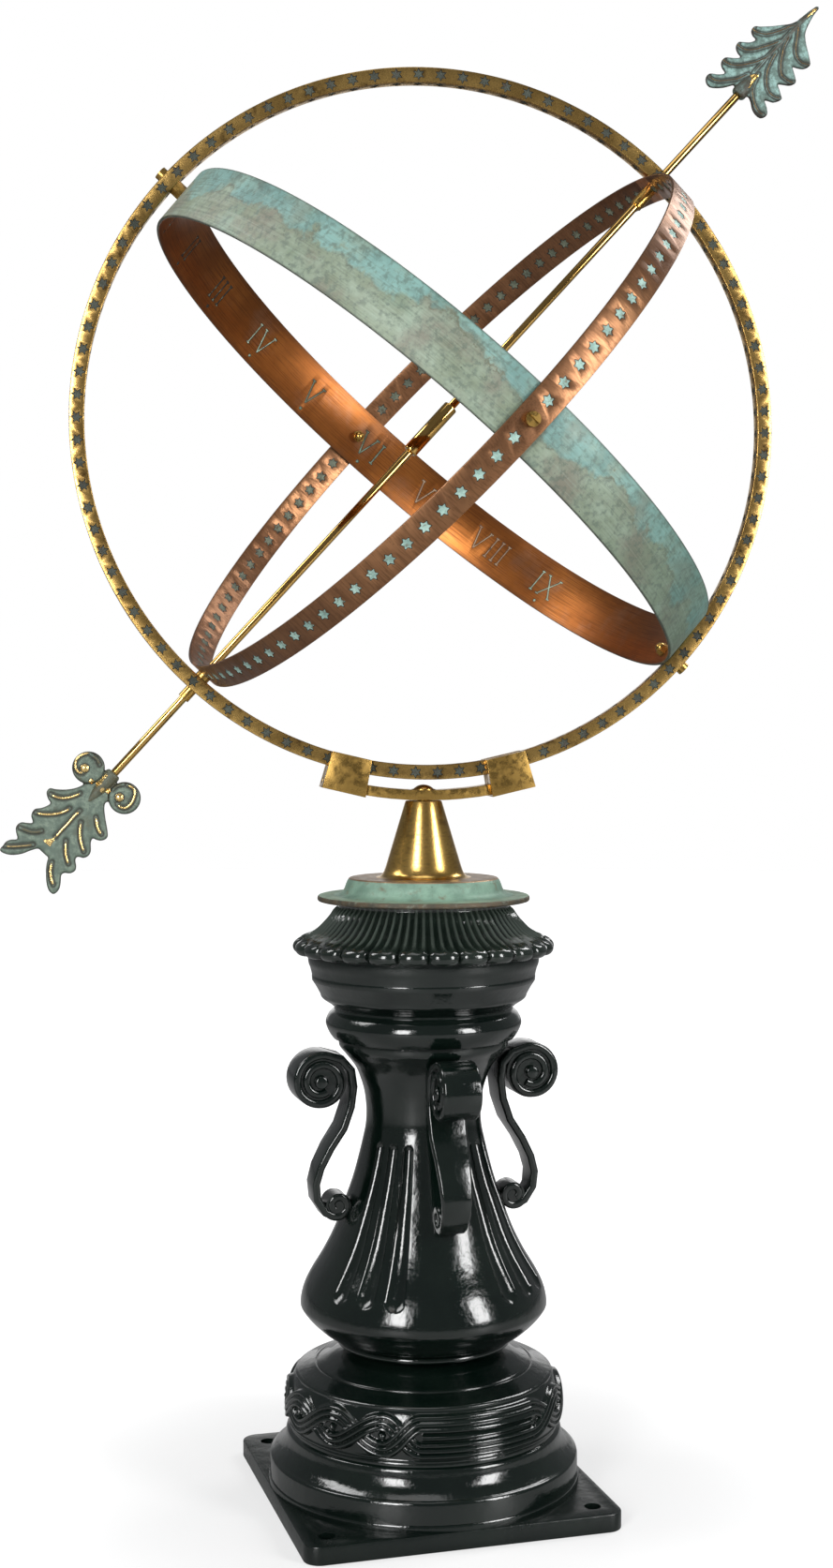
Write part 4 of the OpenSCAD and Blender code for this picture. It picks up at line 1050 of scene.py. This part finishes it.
alongX, alongY = (Matrix.Rotation(math.pi / 2, 4, axis) for axis in "YX")
ring = {
    "radius": 240, "inner": 230, "width": 10, "edge": 0.7, "steps": 240,
    "stars": 98, "starTip": 4.6, "insideTip": 3.6, "starInner": 0.52, "starAt": 235, "starDepth": 0.4,
}
boreSize = {"rod": 2.85, "bolt": 2.6, "length": 600}


def boxedOutline(inner, outer, width, edge):
    half = width / 2
    return [
        (inner + edge, -half), (outer - edge, -half), (outer - 0.3 * edge, -half + 0.3 * edge),
        (outer, -half + edge), (outer, half - edge), (outer - 0.3 * edge, half - 0.3 * edge),
        (outer - edge, half), (inner + edge, half), (inner + 0.3 * edge, half - 0.3 * edge),
        (inner, half - edge), (inner, -half + edge), (inner + 0.3 * edge, -half + 0.3 * edge)]


def bandLay(radius, inside=False):  # from flat at the origin to the face of a band
    turn = -math.pi / 2 if inside else math.pi / 2
    return Matrix.Translation((radius / 1000, 0, 0)) @ Matrix.Rotation(turn, 4, "Y")


def makeRing():
    outline = boxedOutline(ring["inner"], ring["radius"], ring["width"], ring["edge"])
    piece = spunOutline("meridianRing", outline, ring["steps"])
    piece.data.materials.append(finishes["ringBrass"])
    reach, half = ring["starAt"] / 1000, ring["width"] / 2000
    faces = [Matrix.Translation((reach, 0, side * half)) @ Matrix.Rotation(turn, 4, "X")
             for side, turn in ((1, 0), (-1, math.pi))]
    cutStars(piece, ring, ring["starTip"], "starFloor", faces)
    cutStars(piece, ring, ring["insideTip"], "starFloor", [bandLay(ring["inner"], inside=True)])
    rodLay = Matrix.Translation((dial["sphereShift"], 0, 0)) @ alongY
    cutBores(piece, "starEdge", [(boreSize["bolt"], alongX), (boreSize["rod"], rodLay)])
    settle(piece, polarFrame @ alongY)  # laid upright
    finished(piece, "dial", ["meridian_ring"], None, 30)


colure = {
    "inner": 225.2, "outer": 227, "width": 20, "edge": 0.3, "steps": 240,
    "stars": 98, "starTip": 4.7, "starInner": 0.6, "starDepth": 0.22,
}


def makeColure():
    outline = boxedOutline(colure["inner"], colure["outer"], colure["width"], colure["edge"])
    piece = spunOutline("colureBand", outline, colure["steps"])
    piece.data.materials.append(finishes["copper"])
    tip = colure["starTip"]
    cutStars(piece, colure, tip, "colureStar", [bandLay(colure["outer"])])
    cutStars(piece, colure, tip, "colureStarInside", [bandLay(colure["inner"], inside=True)])
    cutBores(piece, "starEdge", [(boreSize["rod"], alongX), (boreSize["bolt"], alongY)])
    # local X goes to the rod, local Y to the crossing screws
    basis = Matrix(((0, 0, 1, 0), (0, 1, 0, 0), (-1, 0, 0, 0), (0, 0, 0, 1)))
    settle(piece, hourFrame @ basis)
    finished(piece, "dial", ["colure_band"], None, 30)


# equator band with the hour numerals inside

equator = {
    "inner": 222, "outer": 224, "width": 40, "edge": 0.35, "steps": 240,
    "first": 176.0, "pitch": 15.93,     # the angle of hour I, and from hour to hour
    "low": -9.5, "high": 8.6,           # where the letters stand on the band
    "dotAt": -14.8, "dotRadius": 1.0, "dotLength": 1,
    "depth": 0.3, "lead": 0.6,          # the cutters start this far inside the band
    "rimGrow": 0.022, "rimDepth": 0.5, "rimDot": 1.45,  # the dark rim is cut wider and less deep
}
numerals = {
    # strokes as (x, y) pairs of each end in units of the letter's height, and widths
    "I": {"wide": 0.34, "strokes": [((0, 0.03), (0, 0.97), 0.046)], "serifs": [(0, 0), (0, 1)]},
    "V": {"wide": 0.98,
          "strokes": [((-0.30, 0.97), (0, 0.02), 0.05), ((0.30, 0.97), (0, 0.02), 0.042)],
          "serifs": [(-0.31, 1), (0.31, 1)]},
    "X": {"wide": 1.08,
          "strokes": [((-0.32, 0.97), (0.32, 0.03), 0.052), ((0.32, 0.97), (-0.32, 0.03), 0.044)],
          "serifs": [(-0.33, 1), (0.33, 1), (-0.33, 0), (0.33, 0)]},
}
serif = {"levels": (0.03, 0.97), "half": 0.075, "thick": 0.05}
hours = [  # word, whether a dot stands under it, its filling
    ("I", True, "numeralDark"), ("II", True, "numeralDark"), ("III", True, "numeralDark"),
    ("IV", True, "numeralFill"), ("V", True, "numeralGreen"), ("VI", True, "numeralGreen"),
    ("VII", False, "numeralFaint"), ("VIII", False, "numeralFaint"), ("IX", True, "numeralFill")]


def strokeBar(start, end, width, grow):
    ax, ay = start
    bx, by = end
    length = math.hypot(bx - ax, by - ay)
    nx, ny = -(by - ay) / length, (bx - ax) / length
    ex, ey = (bx - ax) / length * grow, (by - ay) / length * grow
    half = width / 2 + grow
    return [
        (ax - ex + nx * half, ay - ey + ny * half), (ax - ex - nx * half, ay - ey - ny * half),
        (bx + ex - nx * half, by + ey - ny * half), (bx + ex + nx * half, by + ey + ny * half)]


def numeralBars(word, grow):
    bars = []
    wide = sum(numerals[letter]["wide"] for letter in word)
    x = -wide / 2
    for letter in word:
        shape = numerals[letter]
        x += shape["wide"] / 2
        for start, end, width in shape["strokes"]:
            bars.append(strokeBar((x + start[0], start[1]), (x + end[0], end[1]), width, grow))
        for sx, sy in shape["serifs"]:
            level, half, thick = serif["levels"][sy], serif["half"], serif["thick"]
            bars.append(strokeBar((x + sx - half, level), (x + sx + half, level), thick, grow))
        x += shape["wide"] / 2
    return bars


def barSolid(bar, low, high):  # a bar of the letter, from one radius to another, bent to the band
    bpy.ops.mesh.primitive_cube_add(size=1)
    solid = bpy.context.active_object
    corners = dict(zip(((False, True), (False, False), (True, False), (True, True)), bar))
    for vertex in solid.data.vertices:
        x, y, z = vertex.co
        turn, height = corners[(x > 0, y > 0)]
        reach = high if z > 0 else low
        vertex.co = (reach / 1000 * math.cos(turn), reach / 1000 * math.sin(turn), height / 1000)
    return solid


def dotSolid(turn, size, depth):  # a round mark under a numeral
    reach = (equator["inner"] + depth - equator["dotLength"] / 2) / 1000
    dot = cylinder(size, equator["dotLength"], vertices=16)
    lay = Matrix.Translation((reach * math.cos(turn), reach * math.sin(turn), equator["dotAt"] / 1000))
    dot.matrix_world = lay @ Matrix.Rotation(turn, 4, "Z") @ alongX
    return dot


def cutNumerals(piece, grow, depth, dotRadius, rim=None):
    size, radius = equator["high"] - equator["low"], equator["inner"]
    solids = []
    for i, (word, dotted, filling) in enumerate(hours):
        middle = math.radians(equator["first"] - equator["pitch"] * i) - dial["hourTurn"]
        letters = []
        for bar in numeralBars(word, grow):
            corners = [(middle - x * size / radius, equator["low"] + y * size) for x, y in bar]
            letters.append(barSolid(corners, radius - equator["lead"], radius + depth))
        if dotted:
            letters.append(dotSolid(middle, dotRadius, depth))
        for solid in letters:
            solid.data.materials.append(finishes[rim or filling])
        solids += letters
    cutter = joined("numeralCutter", solids)
    settle(cutter)
    cleaned(cutter, 1e-9)               # sets the bars' faces the right way round
    cut(piece, cutter, crossing=True)


def makeEquator():
    outline = boxedOutline(equator["inner"], equator["outer"], equator["width"], equator["edge"])
    piece = spunOutline("equatorBand", outline, equator["steps"])
    piece.data.materials.append(finishes["verdigris"])
    piece.data.materials.append(finishes["innerCopper"])
    middle = (equator["inner"] + equator["outer"]) / 2000
    for face in piece.data.polygons:
        x, y, z = face.center
        face.material_index = 1 if math.hypot(x, y) < middle - 0.0005 else 0
    depth = equator["depth"]
    cutNumerals(piece, equator["rimGrow"], depth * equator["rimDepth"], equator["rimDot"], "numeralEdge")
    cutNumerals(piece, 0.0, depth, equator["dotRadius"])
    # the bolts run along the ring's own line, the band is tilted on them
    boltLay = equatorFrame.inverted() @ sphereFrame @ alongX
    cutBores(piece, "numeralEdge", [(boreSize["bolt"], boltLay), (boreSize["bolt"], alongY)])
    settle(piece, equatorFrame)
    finished(piece, "dial", ["equator_band"], None, 30)


# small turned parts with broken edges

softParts = {  # node, how wide its edges are broken, body, finish, and how far faces smooth together
    "cradleBar": ("cradle_bar", 0.0006, "cradle", "brass", 30),
    "blockLeft": ("block_left", 0.0007, "cradle", "brass", 30),
    "blockRight": ("block_right", 0.0007, "cradle", "brass", 30),
    "rodUpper": ("rod_upper", 0.0003, "dial", "rodBrass", 40),
    "rodLower": ("rod_lower", 0.0003, "dial", "rodBrass", 40),
    "rodSleeve": ("rod_sleeve", 0.0004, "dial", "rodBrass", 40),
}


def softened(name, node, width, body, finish, smooth):
    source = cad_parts[node]
    piece = source.copy()
    piece.data = source.data.copy()
    piece.name = name
    bpy.context.collection.objects.link(piece)
    cleaned(piece)
    modify(piece, "DECIMATE", decimate_type="DISSOLVE", angle_limit=math.radians(1.5))
    modify(piece, "BEVEL", width=width, segments=2, limit_method="ANGLE", angle_limit=math.radians(35))
    finished(piece, body, [node], finish, smooth)


# leaf-shaped ends of the gnomon

def leafFrame(side):  # first axis outward along the rod, second across it, third to the front
    sign = 1 if side == "head" else -1
    basis = Matrix(((0, -sign, 0, 0), (0, 0, -1, 0), (sign, 0, 0, 0), (0, 0, 0, 1)))
    return sphereFrame @ Matrix.Translation((0, 0, sign * dial["rodReach"])) @ basis


def tube(points, radii, flat=1.0):  # round along a path, then pressed flat; mm
    item = flatCurve("tube", points, closed=False)
    item.data.dimensions = "3D"
    item.data.bevel_depth = 0.001
    item.data.bevel_resolution = 5
    item.data.use_fill_caps = True
    for point, radius in zip(item.data.splines[0].points, radii):
        point.radius = radius
    mesh = asMesh(item)
    for vertex in mesh.data.vertices:
        vertex.co.z *= flat
    return mesh


def roundCurve(points, steps):
    return smoothLine(points + points[:1], steps)


def filledPlate(spec):
    item = flatCurve("blade", roundCurve(spec["outline"], 4)[:-1])
    item.data.fill_mode = "BOTH"
    item.data.extrude = spec["thick"] / 2000
    mesh = asMesh(item)
    cleaned(mesh)
    return mesh


def melted(name, parts):  # one skin over all the parts
    piece = joined(name, parts)
    settle(piece)
    modify(piece, "REMESH", mode="VOXEL", voxel_size=leaf["voxel"])
    modify(piece, "SMOOTH", iterations=2, factor=0.5)
    return piece


def pointTree(points):
    tree = kdtree.KDTree(len(points))
    for i, (u, v) in enumerate(points):
        tree.insert((u, v, 0), i)
    tree.balance()
    return tree


def isInside(outline, u, v):
    inside = False
    for (ax, ay), (bx, by) in zip(outline, outline[1:] + outline[:1]):
        if (ay > v) != (by > v) and u < (bx - ax) * (v - ay) / (by - ay) + ax:
            inside = not inside
    return inside


def near(distance, width):
    return math.exp(-(distance / width) ** 2)


leaf = {
    "voxel": 0.0005,
    "round": 1.5, "edgeShare": 0.3,     # where a leaf rounds off, and its thickness left at the edge
    "crown": 0.75, "crownReach": 3.2,   # how far a lobe swells between its lines
    "groove": 0.55, "grooveAt": 1.7, "grooveWide": 0.75,  # the hollows beside a ridge
    "grooveShade": (1.4, 0.7),            # painted shade in the groove beside a ridge, its distance and width
    # painted shade along the leaf's edges, its width
    "edgeShade": 0.75,
    "slack": 0.15,                      # what stands out further than this belongs to the socket
    "knobFoot": 1.25, "knobBright": 0.92,  # painted shade round a knob's foot, bright worn metal within
    "blend": 0.9,                       # how softly a patch begins
    "socketBore": 2.8,
}
ridgeKinds = {  # how tall, how wide, how worn
    "midrib": (0.75, 0.6, 0.5), "vein": (0.9, 0.65, 0.66), "bright": (1.0, 0.95, 1.0),
    "wearAndSheen": (1.0, 0.95, 0.7), "dull": (1.0, 0.95, 0.5), "faint": (0.9, 0.9, 0.45)}


def carveLeaf(piece, spec):  # swells, ridges and hollows on both faces; mm in the leaf's own plane
    edgeTree = pointTree(roundCurve(spec["outline"], 8))
    samples, traits = [], []
    for kind, line in spec["ridges"]:
        tall, wide, wearAndSheen = ridgeKinds[kind]
        dense = evenRows(smoothLine(line, 5), 0.35)
        for i, point in enumerate(dense):
            fade = min(1, i / 8, (len(dense) - 1 - i) / 5)
            samples.append(point)
            traits.append((
                tall * (0.3 + 0.7 * fade), wide * (0.6 + 0.4 * fade), wearAndSheen * (0.35 + 0.65 * fade)))
    ridgeTree = pointTree(samples)
    patchTrees = [pointTree(evenRows(patch[0] + patch[0][:1], 0.2)) for patch in spec["patches"]]
    gilt, rim = [], []
    for vertex in piece.data.vertices:
        u, v, w = (1000 * part for part in vertex.co)
        toEdge = edgeTree.find((u, v, 0))[2]
        index, toRidge = ridgeTree.find((u, v, 0))[1:]
        tall, wide, wearAndSheen = traits[index]
        half = spec["thick"] / 2
        for x, y, radius, height in spec.get("discs", ()):
            if math.hypot(u - x, v - y) < radius:
                toEdge, half = radius - math.hypot(u - x, v - y), height / 2
        thick = abs(w) > half + leaf["slack"]
        inward = min(1, toEdge / leaf["round"])
        bulge = math.sqrt(max(0, 1 - (1 - inward) ** 2))
        rounded = leaf["edgeShare"] + (1 - leaf["edgeShare"]) * bulge
        swell = leaf["crown"] * min(1, min(toEdge, toRidge) / leaf["crownReach"]) ** 0.8
        hollow = leaf["groove"] * near(toRidge - leaf["grooveAt"], leaf["grooveWide"])
        lift = tall * near(toRidge, wide) - hollow + swell
        level = wearAndSheen * near(toRidge, wide * 0.85)
        away, width = leaf["grooveShade"]
        # painted shade in the grooves beside the ridges and along the edges
        dark = near(toRidge - away, width) + 0.95 * near(toEdge, leaf["edgeShade"])
        for (outline, patchTall, patchWorn), patchTree in zip(spec["patches"], patchTrees):
            reach = patchTree.find((u, v, 0))[2] * (1 if isInside(outline, u, v) else -1)
            share = min(1, max(0, 0.5 + reach / leaf["blend"]))
            lift += (patchTall - lift) * share
            level += (patchWorn - level) * share
            dark *= 1 - share
        for x, y, radius, height in spec.get("domes", ()):
            reach = math.hypot(u - x, v - y) / radius
            if reach < leaf["knobFoot"]:
                lift = max(lift, height * math.sqrt(max(0, 1 - min(1, reach) ** 2)))
                within = reach < leaf["knobBright"]
                level = max(level, 1.1 if within else 0)
                # painted shade round the knob's foot
                dark = 0 if within else 0.9
        if thick:
            dark = max(dark, spec["socketDark"])
            level = level if level > 1 else 0.3
            rounded, lift = 1, lift * 0.4
        else:
            lift *= inward * min(1, abs(w) / half)
        vertex.co.z = (w * rounded + math.copysign(1, w) * lift) / 1000
        gilt.append(level)
        rim.append(min(1, dark) * (1 - min(1, level)))
    for name, values in (("gilt", gilt), ("rim", rim)):
        layer = piece.data.attributes.new(name, "FLOAT", "POINT")
        layer.data.foreach_set("value", values)


def finishLeaf(piece, side, node, finish):
    piece.data.materials.clear()
    piece.data.materials.append(finishes[finish])
    bore = cylinder(leaf["socketBore"], 15)
    bore.matrix_world = Matrix.Translation((0.0007, 0, 0)) @ alongX
    bore.data.materials.append(finishes["starEdge"])
    settle(bore)
    cut(piece, bore)
    settle(piece, leafFrame(side))
    finished(piece, "dial", [node], None, 60)


head = {
    "outline": [
        (83.6, -0.1), (81.3, 0.9), (75.9, 2.1), (70.1, 2.8), (65, 4.4), (60.3, 6.5), (56.5, 9.4),
        (50.2, 14.4), (44.3, 19.9), (41.7, 22.9), (39.4, 23.5), (37.1, 22.6), (35.6, 20), (35.1, 16.5),
        (30.8, 18.2), (27.2, 22.2), (25.6, 23.9), (23.1, 23.9), (20.9, 22.5), (19.4, 19.5),
        (18.9, 16.4), (17.3, 16.7), (14.5, 19.5), (11.5, 23.1), (9.1, 24), (6.2, 23.2), (4.1, 20.4),
        (3, 16.5), (-0.8, 19), (-4.5, 23.6), (-7.1, 24.4), (-9.7, 23.4), (-11.6, 20.7), (-11.6, 17.6),
        (-9, 14.1), (-5, 10.5), (-0.3, 7.6), (1.3, 6.4), (0.6, 4.9), (-0.3, 1.7), (-0.1, -2.1),
        (1.1, -4.7), (2.5, -6.1), (1.4, -9.6), (-1.5, -13.9), (-2.7, -18.2), (-2, -22.1), (0.8, -24),
        (3.7, -23.7), (6.7, -20.4), (8.9, -16.3), (10.7, -18.5), (12.4, -21.5), (15.9, -23.7),
        (18.5, -24.1), (19.7, -22.5), (22, -18.5), (23.7, -15.6), (26, -18), (28.9, -21.8),
        (31.9, -23.5), (34.1, -23.4), (36.2, -20.9), (38.5, -16.9), (39.9, -14.7), (41.8, -18),
        (44.3, -21.2), (47.5, -22.8), (50.1, -22.7), (52, -20.5), (55.3, -15.6), (58.7, -10.5),
        (62.1, -6.6), (65.1, -4.7), (69.7, -3.1), (75.9, -1.6), (80.6, -0.9)],
    "thick": 2.7,
    "ridges": [
        ("midrib", [(63.1, 2.3), (55.2, 2.6), (47.2, 2.5), (39.7, 2.8), (31.9, 2.9), (23.6, 2.6),
                    (16.6, 2.4)]),
        ("vein", [(62.6, 2.5), (57.9, 5.5), (51.4, 8.3), (46.5, 11), (42.1, 14.2), (39.4, 18),
                  (38.4, 20.8), (38.7, 22.8), (40.3, 23)]),
        ("vein", [(46.3, 3.5), (39.6, 6.5), (33.5, 9.9), (28.7, 12.7), (24.4, 16.9), (23.1, 20.3),
                  (22.9, 22.8), (24.3, 23.6)]),
        ("vein", [(33.1, 2.2), (24.1, 5.7), (18.8, 9), (13.3, 13), (9.8, 17), (8.4, 20.2), (8.1, 22.7),
                  (9.5, 23.5)]),
        ("vein", [(13.8, 4.3), (6.2, 7.4), (1.8, 10.5), (-2.9, 14.3), (-5.9, 17.8), (-7.1, 21.3),
                  (-7.1, 23.5)]),
        ("vein", [(63.5, 1.8), (58.9, -1.6), (53.8, -5), (48.7, -8.9), (46.3, -12.9), (46.1, -17.7),
                  (47.7, -20.7), (49.4, -22.9)]),
        ("vein", [(53.8, 1.3), (45.3, -1), (38.3, -4.9), (33.1, -8.7), (29.8, -12.7), (29.8, -16.3),
                  (30.5, -20.3), (32.6, -22.9)]),
        ("vein", [(39.2, 0.6), (31.2, -1.4), (24.6, -3.8), (19.4, -7.7), (16.1, -11.7), (14.7, -15.7),
                  (15.4, -19.6), (17.3, -23.3)]),
        ("vein", [(18.9, -0.9), (11.4, -3.3), (6.7, -5.8), (3.4, -9.8), (0.8, -14.5), (-0.1, -18.5),
                  (0.6, -22.4)])],
    "patches": [  # outline, how tall, how worn
        ([(14, 3.2), (18, 0.1), (18, -1.8), (11.4, -2.4), (5.8, -3.1), (5.1, -1.9), (10.9, -0.1)],
         0.5, 1.1),
        ([(81.7, 0.4), (78.6, 1.5), (73.9, 1.7), (68.9, 1.5), (71.2, 0.5), (74.8, -0.1), (79.3, -0.4)],
         0.1, 1.1)],
    "tubes": [  # the socket and the stalk: points, radii, how flat
        ([(-2, 0), (-0.5, 0), (4, 0), (9, 0), (15, 0), (20, 0.5)], [4.4, 5.4, 5.2, 4.3, 2.8, 1.2]),
        ([(14, 2), (40, 2), (66, 2), (76, 0.7), (82.6, 0.1)], [1.7, 1.9, 2.3, 2.2, 1.3], 0.85)],
    "socketDark": 0.75,
}


def makeHead():
    piece = melted("arrowHead", [filledPlate(head)] + [tube(*shape) for shape in head["tubes"]])
    carveLeaf(piece, head)
    finishLeaf(piece, "head", "arrow_head", "leaf")


tail = {
    "outline": [
        (8.5, -5.9), (1.5, -5.7), (0.3, -2.5), (1, 2.3), (2.6, 7.1), (9.5, 11.7), (14.1, 11.7),
        (14.9, 9.9), (16.9, 9.1), (20.1, 11.2), (24.3, 15.9), (29, 21.9), (32.1, 25.1), (34.8, 25.4),
        (37.5, 23.7), (39.1, 21), (39.9, 18.8), (42.8, 19.7), (47, 23.5), (50.4, 24.5), (53.5, 23.2),
        (54.8, 21), (56.2, 19.4), (58.5, 20.2), (60.9, 23.1), (63.4, 24.6), (66.4, 24), (68.2, 22.3),
        (69.7, 20.3), (72.1, 20), (75.6, 22.7), (79.4, 25), (83.4, 25.3), (85.3, 23.6), (84.8, 19.9),
        (81.9, 15.6), (77, 10.8), (72.5, 7.4), (69.1, 5.6), (69, 3.8), (68.9, -0.3), (69.2, -3.4),
        (73.4, -6.2), (78.7, -8.9), (83, -12.5), (85.5, -16), (86.8, -19.7), (86, -21.7),
        (82.8, -21.8), (79.7, -22.1), (76.6, -20.7), (73.4, -17.9), (70.6, -21.4), (68.4, -23.6),
        (65.6, -24.1), (63.1, -23), (61, -20), (58.5, -17.7), (56.1, -21.1), (53.6, -22.5),
        (50.7, -22.6), (47.4, -19.9), (43.1, -17.9), (40.9, -17.9), (40.1, -20.7), (38.2, -23.8),
        (36.3, -24.9), (33.9, -24.6), (31.9, -21.4), (28, -16.7), (23.2, -12.7), (18.4, -10.3),
        (15.4, -9.8)],
    "thick": 2.7,
    "ridges": [
        ("bright", [(36.5, -21.4), (35.6, -18.1), (33, -13.8), (29.2, -10.6), (25.8, -8.7),
                    (23.2, -7.7)]),
        ("bright", [(52.2, -20.5), (50, -16.7), (46.8, -12.9), (43.1, -9.6), (38.7, -7), (35.2, -6)]),
        ("dull", [(66.6, -21.5), (64.3, -15.3), (61.3, -11.4), (58.7, -9.6)]),
        ("wearAndSheen", [(82.2, -20.7), (79.9, -17.7), (74.8, -12.5), (69.2, -7.6)]),
        ("bright", [(28, 10.9), (31.3, 14.7), (33.3, 18.2), (33.9, 21.2)]),
        ("bright", [(37.2, 5.8), (41.1, 8.5), (44.8, 11.9), (47.9, 16), (50.3, 20.3)]),
        ("bright", [(52.9, 6.7), (56.8, 9.9), (60.3, 13.5), (63.2, 18.2)]),
        ("bright", [(69.7, 9.5), (74.1, 12.2), (77.6, 15.8), (80.2, 20.3)]),
        ("bright", [(31.8, 0.1), (36.8, -0.3), (42.6, -0.1), (49.8, -0.2), (55.6, 0)])],
    "patches": [
        ([(62.3, -4.7), (58.1, -1), (55.1, -0.4), (58.2, 0.8), (62.7, 1.5), (62.8, -3.4)], 0.8, 1.1),
        ([(2, -4.4), (1.3, -1.7), (5.7, -1.9), (9.2, -1.1), (11.8, -2.1), (14.1, -1.8), (11, -4.9),
          (6.9, -4.1)], 0.6, 1.1)],
    "beads": [(12.2, -7.6), (11.6, 1.9), (9.6, 5)],
    "scrolls": [  # centre, its knob, the bright line that curls in to it, a fainter line
        {"at": (6.7, -15.1), "knob": (8.6, -16.7),
         "bright": [(-1.5, -21), (2.1, -23.5), (6.2, -24.8), (9.9, -23.9), (12.6, -21.1), (13.2, -17.8),
                    (11.6, -15.4)],
         "faint": [(-1.0, -19.6), (-1.2, -14.8), (0.3, -10.9)]},
        {"at": (5.8, 16.2), "knob": (7.6, 13.3),
         "bright": [(11.9, 15.5), (11.9, 18.3), (10.2, 21.0), (6.8, 21.9), (3.0, 21.3), (-0.9, 19.3),
                    (-3.1, 16.2), (-2.2, 11.9)],
         "faint": [(-0.6, 9.4), (2.8, 7.0), (6.4, 6.5)]}],
    "scrollSize": (10.8, 4.4), "knobSize": (2.9, 2.0), "beadSize": (1.7, 1.0),
    "tubes": [
        ([(-2, 0), (-0.5, 0), (4, 0), (10, 0), (16, 0), (24, 0)], [4.4, 5.4, 5.2, 4.4, 3.4, 1.4])],
    "socketDark": 0.55,
}


def makeTail():
    scrolls = tail["scrolls"]
    parts = [filledPlate(tail)]
    parts += [cylinder(*tail["scrollSize"], (*scroll["at"], 0), 72) for scroll in scrolls]
    parts += [tube(*shape) for shape in tail["tubes"]]
    piece = melted("arrowTail", parts)
    shape = dict(tail)
    shape["ridges"] = tail["ridges"] + [
        (kind, scroll[kind]) for kind in ("bright", "faint") for scroll in scrolls]
    shape["discs"] = [(*scroll["at"], *tail["scrollSize"]) for scroll in scrolls]
    shape["domes"] = (
        [(*scroll["knob"], *tail["knobSize"]) for scroll in scrolls]
        + [(*bead, *tail["beadSize"]) for bead in tail["beads"]])
    carveLeaf(piece, shape)
    finishLeaf(piece, "tail", "arrow_tail", "tailPatina")


# every piece, stage by stage

makeBase()
makeColumn()
print("base and column made")
makeCapital()
makeCrown()
makeHandles()
print("capital, crown and handles made")
makeRing()
makeColure()
print("meridian ring and colure made")
makeEquator()
print("equator made")
makeHead()
makeTail()
print("arrow ends made")
for name in turnedParts:
    makeTurned(name)
for name, settings in softParts.items():
    softened(name, *settings)
print("cradle, cone and rod made")

for name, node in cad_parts.items():
    node.data.materials.clear()
    node.data.materials.append(finishes["steel" if name.startswith("tie_rod") else "brass"])
print("nodes finished")
